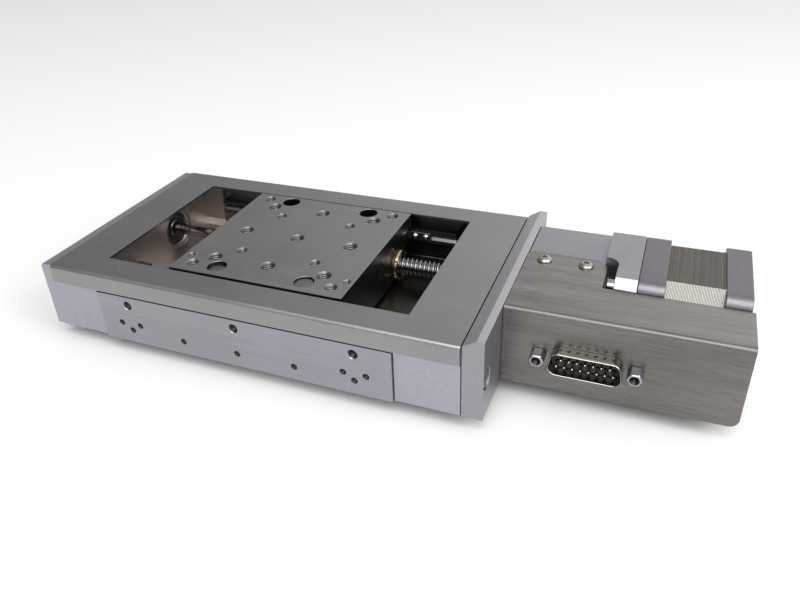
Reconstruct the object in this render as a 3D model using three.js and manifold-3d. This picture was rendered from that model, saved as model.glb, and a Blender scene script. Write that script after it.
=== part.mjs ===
// Low-profile motorised linear stage: ball-screw slide on caged-ball rails,
// driven by a 42 mm stepper motor through a coupling, with a 15-pin connector box.
// Millimetres. X runs along the travel towards the motor, Y to the rear, Z up.
// The origin is the centre of the mounting pad's underside.
import * as THREE from 'three';
import { mergeVertices } from 'three/addons/utils/BufferGeometryUtils.js';
import Module from 'manifold-3d';

const wasm = await Module();
wasm.setup();

// ---------------------------------------------------------------- dimensions
const PAD_H = 6;                 // inset mounting pad under the base
const PAD_HX = 58, PAD_HY = 40;
const BASE_HX = 65;              // ground steel base, half length
const BASE_HY = 51.9;            // ground side faces
const BASE_HY_UP = 50.1;         // side walls where the cover skirt laps over them
const WALL_IN = 44.6;            // inner face of the side walls
const LEDGE_IN = 41.5;           // ledge that carries the outer rails
const FLOOR_Z = 13.2;
const LEDGE_Z = 23.7;
const SKIRT_Z = 28.4;            // lower edge of the cover skirt
const UNDER_COVER_Z = 34.9;
const COVER_T = 1.2, COVER_TOP = 36.5, COVER_HY = 51.6;
const COVER_X0 = -87.2, COVER_X1 = 89.75;
const WIN_HX = 67, WIN_HY = 38.6;
const BLOCK_HY = 50.9, BLOCK_Z0 = 6.3;
const BLK_L0 = -87.2, BLK_L1 = -65.15, BLK_LW = -75.5;   // left block and its inner wall
const BLK_R0 = 65.15, BLK_R1 = 89.9, BLK_RW = 76;        // right block
const PLATE_X0 = -93.0, PLATE_X1 = -87.35, PLATE_HY = 50.6, PLATE_TOP = 35.9;
const FL_X0 = 90.1, FL_X1 = 98.0, FL_Y0 = -50.7, FL_Y1 = 52.0, FL_Z0 = 6.1, FL_TOP = 39.5;
const FL_CH_X = 4.95, FL_CH_Z = 3.05;                    // flange top chamfer

const AY = 17.4, AZ = 21.6;        // common axis of screw and motor
const LEAD_OD = 8;               // lead screw over the thread, lead 2 mm
const THREAD_X0 = -22, THREAD_X1 = 70;

const CAR_X = 1.1;               // table centre
const CAR_HX = 38.7, CAR_HY = 37.4, CAR_TOP = 36.95, CAR_PLATE_Z = 30.4, CAR_Z0 = 15.0;
const CAR_BODY_HY = 29.8;
const PAT_Y = 0.7;               // hole pattern centre
const RAIL_Z0 = 23.8, RAIL_Z1 = 30.0, RAIL_HX = 61;
const OUT_FACE = 36.7, IN_FACE = 35.5, V_Z = 26.9, V_H = 1.62;
const BALL_R = 1.5, BALL_PITCH = 5.1, CAGE_X0 = -47.6, CAGE_X1 = 49.4;

const BR_X0 = 98.1, BR_X1 = 127.8, BR_Y0 = -3.6, BR_Y1 = 39.8, BR_Z0 = 6.2, BR_TOP = 38.45;
const MP_X1 = 140.7, MP_H = 21;  // raised motor plate, 42 mm square
const BOX_X0 = 98.15, BOX_X1 = 179.6, BOX_Y0 = -26.9, BOX_Y1 = -4.5, BOX_Z0 = 7.0, BOX_TOP = 39.5;
const BOX_T = 1.0, BOX_WIDE_X = 125.2, BOX_NOTCH_X = 129.0, BOX_WIDE_Y = 15.9;
const DS_X = 128.3, DS_Z = 22.0, JACK = 16.65;           // 15-way connector centre, half screw spacing
const MOT_X0 = 140.8, BELL_F = 148.8, EAR_F = 150.1, EAR_R = 169.9, BELL_R = 172.2, MOT_X1 = 178.7;

// ------------------------------------------------------------------- helpers
function toManifold(geo) {
  let g = geo.clone();
  for (const a of ['normal', 'uv']) if (g.getAttribute(a)) g.deleteAttribute(a);
  g = mergeVertices(g, 1e-4);
  return new wasm.Manifold(new wasm.Mesh({
    numProp: 3,
    vertProperties: new Float32Array(g.attributes.position.array),
    triVerts: new Uint32Array(g.index.array),
  }));
}
function toGeometry(m) {
  const mesh = m.getMesh();
  const g = new THREE.BufferGeometry();
  g.setAttribute('position', new THREE.BufferAttribute(new Float32Array(mesh.vertProperties), 3));
  g.setIndex(new THREE.BufferAttribute(new Uint32Array(mesh.triVerts), 1));
  g.computeVertexNormals();
  return g;
}
const box = (x0, x1, y0, y1, z0, z1) => {
  const g = new THREE.BoxGeometry(x1 - x0, y1 - y0, z1 - z0);
  g.translate((x0 + x1) / 2, (y0 + y1) / 2, (z0 + z1) / 2);
  return toManifold(g);
};
// cylinders along each axis; n is the nominal number of facets, thinned by FACET
const FACET = 0.62;
const facets = (n) => Math.max(6, 2 * Math.round(n * FACET / 2));
const cylX = (r, x0, x1, y, z, n = 24, r2 = r) => {
  const g = new THREE.CylinderGeometry(r2, r, x1 - x0, facets(n));
  g.rotateZ(-Math.PI / 2); g.translate((x0 + x1) / 2, y, z);
  return toManifold(g);
};
const cylY = (r, x, y0, y1, z, n = 24, r2 = r) => {
  const g = new THREE.CylinderGeometry(r2, r, y1 - y0, facets(n));
  g.translate(x, (y0 + y1) / 2, z);
  return toManifold(g);
};
const cylZ = (r, x, y, z0, z1, n = 24, r2 = r) => {
  const g = new THREE.CylinderGeometry(r2, r, z1 - z0, facets(n));
  g.rotateX(Math.PI / 2); g.translate(x, y, (z0 + z1) / 2);
  return toManifold(g);
};
const shapeOf = (pts) => {
  const s = new THREE.Shape();
  pts.forEach(([a, b], i) => (i ? s.lineTo(a, b) : s.moveTo(a, b)));
  s.closePath();
  return s;
};
// outline in (y, z), extruded along X
const extX = (pts, x0, x1) => {
  const g = new THREE.ExtrudeGeometry(shapeOf(pts), { depth: x1 - x0, bevelEnabled: false });
  g.rotateY(Math.PI / 2); g.rotateX(Math.PI / 2); g.translate(x0, 0, 0);
  return toManifold(g);
};
// outline in (x, y), extruded along Z
const extZ = (pts, z0, z1) => {
  const g = new THREE.ExtrudeGeometry(shapeOf(pts), { depth: z1 - z0, bevelEnabled: false });
  g.translate(0, 0, z0);
  return toManifold(g);
};
// outline in (x, z), extruded along Y from y0 to y1
const extY = (pts, y0, y1) => {
  const g = new THREE.ExtrudeGeometry(shapeOf(pts.map(([x, z]) => [x, -z])), { depth: y1 - y0, bevelEnabled: false });
  g.rotateX(-Math.PI / 2);            // (x, -z, d) -> (x, d, z)
  g.translate(0, y0, 0);
  return toManifold(g);
};
// rounded or chamfered rectangle outline about a centre
const roundRect = (cx, cy, hx, hy, r, n = 2) => {
  const p = [];
  for (const [sx, sy, a0] of [[1, 1, 0], [-1, 1, 90], [-1, -1, 180], [1, -1, 270]])
    for (let i = 0; i <= n; i++) {
      const a = (a0 + (90 * i) / n) * Math.PI / 180;
      p.push([cx + sx * (hx - r) + r * Math.cos(a), cy + sy * (hy - r) + r * Math.sin(a)]);
    }
  return p;
};
const union = (...m) => m.reduce((a, b) => a.add(b));
const cut = (a, ...m) => m.reduce((x, y) => x.subtract(y), a);
const arc = (cy, cz, r, a0, a1, n) => {
  const p = [];
  for (let i = 0; i <= n; i++) {
    const a = (a0 + (a1 - a0) * i / n) * Math.PI / 180;
    p.push([cy + r * Math.cos(a), cz + r * Math.sin(a)]);
  }
  return p;
};

const group = new THREE.Group();
group.name = 'motorised_linear_stage';
const STYLE = {
  steel: [0x8d8d90, 1.0, 0.38], stainless: [0x9a9a9a, 1.0, 0.32], alu: [0xb4b5c4, 1.0, 0.5],
  cast: [0x8c8794, 1.0, 0.55], chrome: [0xd0d0d2, 1.0, 0.15], brass: [0xc9a64a, 1.0, 0.3],
  plastic: [0x16171a, 0.0, 0.5], zinc: [0xb9bcc2, 1.0, 0.35], stack: [0x6e685e, 0.9, 0.5],
  pcb: [0x1f5a34, 0.0, 0.6], red: [0x9c2b22, 0.0, 0.5],
};
function add(name, m, style) {
  const [c, metal, rough] = STYLE[style];
  const mesh = new THREE.Mesh(toGeometry(m), new THREE.MeshStandardMaterial({ color: c, metalness: metal, roughness: rough }));
  mesh.name = name;
  mesh.material.name = name + '_mat';
  group.add(mesh);
}

// ------------------------------------------------------------------ the base
const HALF = [
  [0, PAD_H], [BASE_HY, PAD_H], [BASE_HY, SKIRT_Z - 0.3], [BASE_HY_UP, SKIRT_Z - 0.3],
  [BASE_HY_UP, UNDER_COVER_Z], [WALL_IN, UNDER_COVER_Z], [WALL_IN, LEDGE_Z], [LEDGE_IN, LEDGE_Z],
  [LEDGE_IN, FLOOR_Z], [0, FLOOR_Z],
];
const mirrored = HALF.slice(1, -1).map(([y, z]) => [-y, z]).reverse();
let base = union(
  extX([...HALF.slice(1, -1), ...mirrored], -BASE_HX, BASE_HX),
  extZ(roundRect(0, 0, PAD_HX, PAD_HY, 3, 1), 0, PAD_H + 1),
);
for (const x of [-45, 45]) for (const y of [-30, 30])
  base = cut(base, cylZ(3.3, x, y, -1, 20, 16), cylZ(5.5, x, y, 7.2, 20, 20));
for (const x of [-50, 0, 50]) base = cut(base, cylY(1.8, x, -BASE_HY - 1, -BASE_HY + 5, 24.1, 14));
for (const [x, z] of [[-50, 12.3], [-25, 12.3], [0, 12.3], [25, 12.3], [50, 12.3], [-54.8, 15.3], [-45.6, 15.3], [45.6, 15.3], [54.8, 15.3]])
  base = cut(base, cylY(1.1, x, -BASE_HY - 1, -BASE_HY + 4, z, 10));
add('base_body', base, 'steel');

// ---------------------------------------------------------------- end blocks
const blockHalf = [
  [BLOCK_HY, BLOCK_Z0], [BLOCK_HY, SKIRT_Z - 0.2], [BASE_HY_UP, SKIRT_Z - 0.2], [BASE_HY_UP, UNDER_COVER_Z],
];
const blockPts = [...blockHalf, ...blockHalf.map(([y, z]) => [-y, z]).reverse()];
let blkL = cut(extX(blockPts, BLK_L0, BLK_L1), box(BLK_LW, BLK_L1 + 1, -43, 43, FLOOR_Z, 40));
blkL = cut(blkL,
  cylX(9.3, BLK_LW - 1.2, BLK_LW + 1, AY, AZ, 32),          // visible seat rim
  cylX(8.06, BLK_LW - 6.2, BLK_LW + 1, AY, AZ, 32),         // bearing bore
  cylX(4.5, BLK_L0 - 1, BLK_LW, AY, AZ, 20));
for (const y of [-42, 42]) for (const z of [12.5, 29.5]) blkL = cut(blkL, cylX(2.1, BLK_L0 - 1, BLK_L0 + 6.5, y, z, 10));
add('end_block_left', blkL, 'alu');

let blkR = cut(extX(blockPts, BLK_R0, BLK_R1), box(BLK_R0 - 1, BLK_RW, -43, 43, FLOOR_Z, 40));
blkR = cut(blkR,
  cylX(6.2, BLK_RW - 1, BLK_R1, AY, AZ, 24),
  cylX(9.57, 77.8, BLK_R1 + 1, AY, AZ, 32));
for (const y of [-46.6, 46.6]) blkR = cut(blkR, cylX(2.1, 82, BLK_R1 + 1, y, AZ, 10));
add('end_block_right', blkR, 'alu');

// ------------------------------------------------------------ left end plate
let plate = box(PLATE_X0, PLATE_X1, -PLATE_HY, PLATE_HY, BLOCK_Z0, PLATE_TOP);
plate = cut(plate, extY([[PLATE_X0 - 1, PLATE_TOP - 0.2], [PLATE_X0 - 1, PLATE_TOP + 1], [PLATE_X0 + 1.2, PLATE_TOP + 1]], -60, 60));
let k = 0;
for (const y of [-42, 42]) for (const z of [12.5, 29.5]) {
  plate = cut(plate, cylX(2.3, PLATE_X0 - 1, PLATE_X1 + 1, y, z, 12), cylX(3.8, PLATE_X0 - 1, PLATE_X0 + 4.3, y, z, 18));
  k += 1;
  add('end_plate_screw_' + k, cut(union(
    cylX(3.5, PLATE_X0 + 0.3, PLATE_X0 + 4.2, y, z, 18), cylX(1.95, PLATE_X0 + 4, BLK_L0 + 6, y, z, 10)),
    cylX(1.7, PLATE_X0 - 1, PLATE_X0 + 2.4, y, z, 6)), 'zinc');
}
add('end_plate_left', plate, 'alu');

// -------------------------------------------------------------- folded cover
const R_OUT = 1.8, R_IN = R_OUT - COVER_T, CI = COVER_HY - COVER_T;
const right = [
  [COVER_HY, SKIRT_Z], ...arc(COVER_HY - R_OUT, COVER_TOP - R_OUT, R_OUT, 0, 90, 3),
];
const rightIn = [...arc(COVER_HY - R_OUT, COVER_TOP - R_OUT, R_IN, 90, 0, 2), [CI, SKIRT_Z]];
const coverPts = [
  ...right, ...right.map(([y, z]) => [-y, z]).reverse(),
  ...rightIn.map(([y, z]) => [-y, z]).reverse(), ...rightIn,
];
let cover = cut(extX(coverPts, COVER_X0, COVER_X1), box(-WIN_HX, WIN_HX, -WIN_HY, WIN_HY, 30, 40));
add('top_cover', cover, 'stainless');

// ------------------------------------------------------- flange to the motor
let flange = box(FL_X0, FL_X1, FL_Y0, FL_Y1, FL_Z0, FL_TOP);
flange = cut(flange, extY([
  [FL_X0 - 1, FL_TOP - FL_CH_Z - FL_CH_Z / FL_CH_X], [FL_X0 - 1, FL_TOP + 1], [FL_X0 + FL_CH_X + FL_CH_X / FL_CH_Z, FL_TOP + 1]], -60, 60));
flange = cut(flange, cylX(7.2, FL_X0 - 1, FL_X1 + 1, AY, AZ, 28));
for (const [n, y] of [['front', -46.6], ['rear', 46.6]]) {
  flange = cut(flange, cylX(2.3, FL_X0 - 1, FL_X1 + 1, y, AZ, 12), cylX(3.9, FL_X1 - 4.4, FL_X1 + 1, y, AZ, 20));
  add('flange_screw_' + n, cut(union(
    cylX(3.5, FL_X1 - 4.3, FL_X1 - 0.5, y, AZ, 20), cylX(1.95, 82.5, FL_X1 - 4, y, AZ, 10)),
    cylX(1.7, FL_X1 - 2.6, FL_X1 + 1, y, AZ, 6)), 'zinc');
}
add('flange_plate', flange, 'alu');

// ---------------------------------------------------------------- the rails
// V-grooved rails; the balls run between the facing grooves
const railPts = (face, back, s) => [
  [s * face, RAIL_Z0], [s * back, RAIL_Z0], [s * back, RAIL_Z1], [s * face, RAIL_Z1],
  [s * face, V_Z + V_H], [s * (face + (back > face ? V_H : -V_H)), V_Z], [s * face, V_Z - V_H],
];
for (const [n, s] of [['front', -1], ['rear', 1]]) {
  let rail = extX(s > 0 ? railPts(OUT_FACE, WALL_IN - 0.1, s) : railPts(OUT_FACE, WALL_IN - 0.1, s).reverse(), -RAIL_HX, RAIL_HX);
  add('outer_rail_' + n, rail, 'chrome');
  let inner = extX(s > 0 ? railPts(IN_FACE, CAR_BODY_HY + 0.1, s).reverse() : railPts(IN_FACE, CAR_BODY_HY + 0.1, s), CAR_X - 38, CAR_X + 38);
  add('inner_rail_' + n, inner, 'chrome');
  // cage strip with its balls
  const yc = s * (OUT_FACE + IN_FACE) / 2;
  let cage = box(CAGE_X0, CAGE_X1, yc - 0.3, yc + 0.3, V_Z - 1.9, V_Z + 1.9);
  for (let i = 0; i < 19; i++) {
    const g = new THREE.SphereGeometry(BALL_R, 6, 3);
    g.rotateX(Math.PI / 2);
    g.translate(CAGE_X1 - 2.3 - i * BALL_PITCH, yc, V_Z);
    cage = cage.add(toManifold(g));
  }
  add('ball_cage_' + n, cage, 'zinc');
}

// ------------------------------------------------------------ moving table
let car = union(
  box(CAR_X - CAR_HX, CAR_X + CAR_HX, -CAR_HY, CAR_HY, CAR_PLATE_Z, CAR_TOP),
  box(CAR_X - CAR_HX, CAR_X + CAR_HX, -CAR_BODY_HY, CAR_BODY_HY, CAR_Z0, CAR_PLATE_Z + 1),
);
car = cut(car, cylX(6.6, CAR_X - 50, CAR_X + 50, AY, AZ, 32));
for (const i of [-1, 0, 1]) for (const j of [-1, 0, 1])
  car = cut(car, cylZ(2.8, CAR_X + 25 * i, PAT_Y + 25 * j, CAR_TOP - 10, CAR_TOP + 1, 16));
for (const i of [-1, 1]) for (const j of [-1, 1]) {
  car = cut(car,
    cylZ(2.1, CAR_X + 17 * i, PAT_Y + 17 * j, CAR_TOP - 7, CAR_TOP + 1, 12),
    cylZ(4.0, CAR_X + 19.8 * i, PAT_Y + 31.6 * j, CAR_TOP - (j < 0 ? 4.6 : 7), CAR_TOP + 1, 20),
    cylZ(2.5, CAR_X + 31.4 * i, PAT_Y + 31.9 * j, CAR_TOP - 7, CAR_TOP + 1, 14));
}
for (const i of [-1, 1]) car = cut(car,
  cylZ(1.5, CAR_X + 35.6 * i, PAT_Y - 26.5, CAR_TOP - 8, CAR_TOP + 1, 10),
  cylZ(2.2, CAR_X + 19.8 * i, PAT_Y - 31.6, CAR_PLATE_Z - 0.5, CAR_TOP, 12));
add('carriage_table', car, 'stainless');
for (const [n, i] of [['left', -1], ['right', 1]])
  add('table_screw_' + n, cut(union(
    cylZ(3.5, CAR_X + 19.8 * i, PAT_Y - 31.6, CAR_TOP - 4.5, CAR_TOP - 1.2, 18),
    cylZ(2.0, CAR_X + 19.8 * i, PAT_Y - 31.6, CAR_PLATE_Z, CAR_TOP - 4.4, 10)),
    cylZ(1.6, CAR_X + 19.8 * i, PAT_Y - 31.6, CAR_TOP - 3, CAR_TOP, 6)), 'zinc');
add('drive_nut', cut(cylX(6.45, 14, 39.6, AY, AZ, 32), cylX(4.12, 13, 41, AY, AZ, 32)), 'steel');
add('nut_collar', cut(union(cylX(6.7, 39.85, 41.6, AY, AZ, 32), cylX(6.7, 41.55, 42.4, AY, AZ, 32, 6.0)), cylX(4.5, 38, 44, AY, AZ, 32)), 'brass');
add('sensor_flag', union(box(-6, 6, -26, -14, 14.2, 14.95), box(-6, 6, -20.4, -19.6, 13.9, 14.9)), 'zinc');

// --------------------------------------------------- screw and its bearings
const revolve = (profile) => {      // profile in (x, r), first and last points on the axis
  const g = new THREE.LatheGeometry(profile.map(([x, r]) => new THREE.Vector2(r, x)), facets(32));
  g.rotateZ(-Math.PI / 2);
  g.translate(0, AY, AZ);
  return toManifold(g);
};
add('lead_screw', revolve([
  [-83.5, 0], [-83.5, 2.0], [-83, 2.48], [-52, 2.48], [-52, 2.9], [THREAD_X0 - 1, 2.9], [THREAD_X0, 3.9],
  [THREAD_X1, 3.9], [THREAD_X1 + 0.8, 3.4], [75, 3.4], [75, 4.4], [77.9, 4.4], [77.9, 2.98], [109.6, 2.98], [110.2, 2.5], [110.2, 0],
]), 'chrome');
const ring = (x0, x1, ro, ri, n = 32) => cut(cylX(ro, x0, x1, AY, AZ, n), cylX(ri, x0 - 1, x1 + 1, AY, AZ, n));
add('bearing_left_outer', cut(ring(-81.6, -76.6, 8.0, 4.7), ring(-82, -81.1, 6.9, 4.6), ring(-77.1, -76, 6.9, 4.6)), 'chrome');
add('bearing_left_inner', ring(-81.6, -76.6, 4.5, 2.52), 'chrome');
add('bearing_right_outer', cut(ring(78.0, 89.8, 9.5, 5.4), ring(77.9, 78.5, 8.2, 5.3), ring(89.3, 89.9, 8.2, 5.3)), 'chrome');
add('bearing_right_inner', ring(78.0, 89.8, 5.1, 3.02), 'chrome');
add('screw_lock_nut', cut(ring(90.0, 95.2, 6.2, 3.02), box(93.8, 96, AY - 7, AY + 7, AZ + 4.4, AZ + 7), box(93.8, 96, AY - 7, AY + 7, AZ - 7, AZ - 4.4)), 'steel');
const jaw = (x0, x1, a) => {        // one driving jaw of a coupling hub
  const g = new THREE.BoxGeometry(x1 - x0, 4.4, 3.6);
  g.translate((x0 + x1) / 2, 6.2, 0); g.rotateX(a); g.translate(0, AY, AZ);
  return toManifold(g);
};
add('coupling_hub_screw', cut(union(ring(100.4, 110.5, 9.0, 3.02), jaw(110.4, 113.3, 0), jaw(110.4, 113.3, Math.PI)), cylZ(1.5, 104, AY, AZ + 3.5, AZ + 12, 10)), 'alu');
add('coupling_hub_motor', cut(union(ring(113.6, 123.8, 9.0, 2.52), jaw(110.8, 113.7, Math.PI / 2), jaw(110.8, 113.7, -Math.PI / 2)), cylZ(1.5, 120, AY, AZ + 3.5, AZ + 12, 10)), 'alu');
let spider = ring(110.6, 113.5, 8.8, 3.2);
for (const a of [0, Math.PI / 2, Math.PI, -Math.PI / 2]) {
  const g = new THREE.BoxGeometry(6, 5.2, 3.75);
  g.translate(112, 6.2, 0); g.rotateX(a); g.translate(0, AY, AZ);
  spider = spider.subtract(toManifold(g));
}
add('coupling_spider', spider, 'red');

// ------------------------------------------------------- bracket and motor
const plateSquare = [
  [AY - MP_H, AZ - MP_H], [AY + MP_H, AZ - MP_H], [AY + MP_H, AZ + MP_H - 3.4], [AY + MP_H - 3.4, AZ + MP_H],
  [AY - MP_H + 3.4, AZ + MP_H], [AY - MP_H, AZ + MP_H - 3.4],
];
let bracket = union(box(BR_X0, BR_X1 + 0.5, BR_Y0, BR_Y1, BR_Z0, BR_TOP), extX(plateSquare, BR_X1, MP_X1));
bracket = cut(bracket,
  cylX(13.2, BR_X0 - 1, 128, AY, AZ, 32),
  cylX(11.3, 127, MP_X1 + 1, AY, AZ, 32),
  box(103, 121, AY + 8, BR_Y1 + 1, AZ - 6, AZ + 6));           // hand hole to the coupling screws
bracket = cut(bracket, extZ([
  [BR_X1 - 0.01, -5], [132.8, -5], [132.8, 6.4], [132.0, 9.2], [130.3, 11.7], [BR_X1 - 0.01, 13.6]], 34.0, 45));
for (const y of [AY - 15.5, AY + 15.5])
  bracket = cut(bracket, cylX(3.25, 118, 132.8, y, AZ - 15.5, 16), cylX(1.75, 131, MP_X1 + 1, y, AZ - 15.5, 10));
bracket = cut(bracket, cylX(1.75, 131, MP_X1 + 1, AY - 15.5, AZ + 15.5, 10));
for (const x of [105.3, 121.1]) bracket = cut(bracket, cylZ(1.65, x, 9.6, 36.2, 45, 10));
add('motor_bracket', bracket, 'alu');

const bellPts = roundRect(AY, AZ, 20.95, 20.95, 4.9, 3);
const CH = 6.5, SH = 20.5;
const octagon = (h, c) => [
  [AY + h, AZ - h + c], [AY + h, AZ + h - c], [AY + h - c, AZ + h], [AY - h + c, AZ + h],
  [AY - h, AZ + h - c], [AY - h, AZ - h + c], [AY - h + c, AZ - h], [AY + h - c, AZ - h]];
let front = union(extX(bellPts, MOT_X0, BELL_F), cylX(10.95, MOT_X0 - 2, MOT_X0 + 1, AY, AZ, 32));
front = union(front, cut(extX(bellPts, BELL_F - 0.5, EAR_F), extX(octagon(SH + 0.05, CH), BELL_F, EAR_F + 1)));
front = cut(front, cylX(3.4, MOT_X0 - 3, EAR_F, AY, AZ, 24));
const motorScrews = [[AY - 15.5, AZ + 15.5], [AY - 15.5, AZ - 15.5], [AY + 15.5, AZ - 15.5]];
for (const [y, z] of motorScrews) front = cut(front, cylX(1.65, MOT_X0 - 1, MOT_X0 + 5, y, z, 10));
add('motor_front_bell', front, 'cast');
add('motor_stator', cut(extX(octagon(SH, CH), BELL_F + 0.05, BELL_R - 0.05), cylX(14.6, BELL_F - 1, BELL_R + 1, AY, AZ, 32)), 'stack');
let rear = union(extX(bellPts, BELL_R, MOT_X1), cut(extX(bellPts, EAR_R, BELL_R + 0.5), extX(octagon(SH + 0.05, CH), EAR_R - 1, BELL_R)));
rear = cut(rear, cylX(3.4, BELL_R - 3, BELL_R + 4.5, AY, AZ, 24));
add('motor_rear_bell', rear, 'cast');
motorScrews.forEach(([y, z], i) => add('motor_screw_' + (i + 1), cut(union(
  cylX(2.75, 129.8, 132.75, y, z, 18), cylX(1.5, 132.6, MOT_X0 + 4.5, y, z, 10)),
  cylX(1.35, 129, 131.4, y, z, 6)), 'chrome'));
add('motor_shaft', cylX(2.48, 114.2, 175.6, AY, AZ, 24), 'chrome');
add('motor_rotor', ring(152.4, 170.4, 13.9, 2.52, 28), 'steel');

// ------------------------------------------------------------ connector box
const RB = 1.6;
const shellPts = [
  [BOX_Y0, BOX_Z0], ...arc(BOX_Y0 + RB, BOX_TOP - RB, RB, 180, 90, 3), [BOX_Y1, BOX_TOP], [BOX_Y1, BOX_TOP - BOX_T],
  ...arc(BOX_Y0 + RB, BOX_TOP - RB, RB - BOX_T, 90, 180, 2), [BOX_Y0 + BOX_T, BOX_Z0],
];
let shell = extX(shellPts.reverse(), BOX_X0, BOX_X1);
const lap = [[BOX_X0, BOX_Y1 - 1], [BOX_NOTCH_X, BOX_Y1 - 1], [BOX_NOTCH_X, 11.2], [BOX_WIDE_X, BOX_WIDE_Y],
  ...arc(BOX_X0 + 4, BOX_WIDE_Y - 4, 4, 90, 180, 3)];
shell = union(shell, extZ(lap, BOX_TOP - BOX_T, BOX_TOP), box(BOX_X1 - BOX_T, BOX_X1, BOX_Y0 + 0.8, BOX_Y1, 11.2, BOX_TOP - 0.5));
// rounded lower corner of the front wall
const corner = cut(box(BOX_X1 - 3.6, BOX_X1 + 1, BOX_Y0 - 1, BOX_Y0 + 2, BOX_Z0 - 1, BOX_Z0 + 3.6), cylY(3.6, BOX_X1 - 3.6, BOX_Y0 - 2, BOX_Y0 + 3, BOX_Z0 + 3.6, 24));
shell = cut(shell, corner);
// trapezoidal connector outline, wide side down
const dOutline = (hw, hh, r, n = 2) => {
  const t = Math.tan(10 * Math.PI / 180) * hh;
  const c = [[hw + t, -hh], [hw - t, hh], [-hw + t, hh], [-hw - t, -hh]];
  const p = [];
  c.forEach(([x, z], i) => {
    const [px, pz] = c[(i + 3) % 4], [nx, nz] = c[(i + 1) % 4];
    const a = [px - x, pz - z], b = [nx - x, nz - z];
    const la = Math.hypot(...a), lb = Math.hypot(...b);
    const cosA = (a[0] * b[0] + a[1] * b[1]) / la / lb, half = Math.acos(cosA) / 2, d = r / Math.tan(half);
    const p0 = [x + a[0] / la * d, z + a[1] / la * d], p1 = [x + b[0] / lb * d, z + b[1] / lb * d];
    const m = [(a[0] / la + b[0] / lb), (a[1] / la + b[1] / lb)], lm = Math.hypot(...m), cd = r / Math.sin(half);
    const cc = [x + m[0] / lm * cd, z + m[1] / lm * cd];
    let a0 = Math.atan2(p0[1] - cc[1], p0[0] - cc[0]), a1 = Math.atan2(p1[1] - cc[1], p1[0] - cc[0]);
    while (a1 < a0) a1 += 2 * Math.PI;
    if (a1 - a0 > Math.PI) a1 -= 2 * Math.PI;
    for (let s = 0; s <= n; s++) { const q = a0 + (a1 - a0) * s / n; p.push([DS_X + cc[0] + r * Math.cos(q), DS_Z + cc[1] + r * Math.sin(q)]); }
  });
  return p;
};
shell = cut(shell, extY(dOutline(12.75, 5.05, 3.2), BOX_Y0 - 1, BOX_Y0 + 2));
for (const s of [-1, 1]) shell = cut(shell, cylY(1.6, DS_X + s * JACK, BOX_Y0 - 1, BOX_Y0 + 2, DS_Z, 12));
for (const x of [105.3, 121.1]) shell = cut(shell, cylZ(1.7, x, 9.6, 38, 41, 12));
add('connector_box', shell, 'stainless');
add('box_bottom_panel', box(98.6, 178.4, -25.7, -4.8, 7.2, 8.2), 'stainless');
add('box_back_panel', box(129.9, 178.4, -5.5, -4.6, 8.4, 38.3), 'stainless');
for (const [n, x] of [['left', 105.3], ['right', 121.1]])
  add('box_screw_' + n, cut(union(
    cylZ(2.85, x, 9.6, BOX_TOP + 0.02, BOX_TOP + 0.6, 20), cylZ(2.85, x, 9.6, BOX_TOP + 0.55, BOX_TOP + 1.5, 20, 1.7), cylZ(1.45, x, 9.6, 36.4, BOX_TOP + 0.1, 10)),
    cylZ(1.15, x, 9.6, BOX_TOP + 0.5, BOX_TOP + 3, 6)), 'zinc');

// connector: plated shell, insulator, contacts on their board, jack screws
let ds = union(
  cut(extY(dOutline(12.38, 4.66, 2.9), -31.8, -25.0), extY(dOutline(11.9, 4.18, 2.45), -32.5, -24.4)),
  cut(extY(roundRect(DS_X, DS_Z, 19.5, 6.2, 1.2, 2), -25.8, -25.0), extY(dOutline(11.9, 4.18, 2.45), -32.5, -24.4)));
for (const s of [-1, 1]) ds = cut(ds, cylY(1.6, DS_X + s * JACK, -26.5, -24.4, DS_Z, 12));
add('dsub_shell', ds, 'zinc');
const pins = [];
for (let i = 0; i < 8; i++) pins.push([DS_X + (i - 3.5) * 2.77, DS_Z - 1.42]);
for (let i = 0; i < 7; i++) pins.push([DS_X + (i - 3) * 2.77, DS_Z + 1.42]);
let ins = extY(dOutline(11.75, 4.03, 2.3), -27.0, -21.6);
let con = box(DS_X - 13.5, DS_X + 13.5, -21.3, -19.8, DS_Z - 7, DS_Z + 7);
for (const [x, z] of pins) {
  ins = cut(ins, cylY(0.6, x, -27.4, -21.4, z, 8));
  con = con.add(cylY(0.5, x, -31.0, -20.9, z, 8));
}
add('dsub_insulator', ins, 'plastic');
add('dsub_contacts', con, 'brass');
for (const [n, s] of [['left', -1], ['right', 1]])
  add('jack_screw_' + n, cut(union(
    cylY(2.75, DS_X + s * JACK, -32.0, -26.95, DS_Z, 6), cylY(1.4, DS_X + s * JACK, -27.0, -22.8, DS_Z, 10)),
    cylY(1.25, DS_X + s * JACK, -32.4, -27.9, DS_Z, 12)), 'zinc');

// ------------------------------------------------------- travel limit switches
add('sensor_board', cut(box(-62, 62, -27.5, -23.5, FLOOR_Z + 0.02, FLOOR_Z + 0.9), cylZ(6, -45, -30, 10, 16, 20), cylZ(6, 45, -30, 10, 16, 20)), 'pcb');
for (const [n, x] of [['left', -71.3], ['right', 70.9]])
  add('limit_switch_' + n, union(box(x - 3.5, x + 3.5, -23.4, -14.5, FLOOR_Z + 0.05, 16.6), box(x - 3.5, x + 3.5, -18.8, -14.5, 16.5, 20.5)), 'plastic');

export default group;
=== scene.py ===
import math

import bmesh
import bpy
from mathutils import Matrix, Vector, noise


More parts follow.
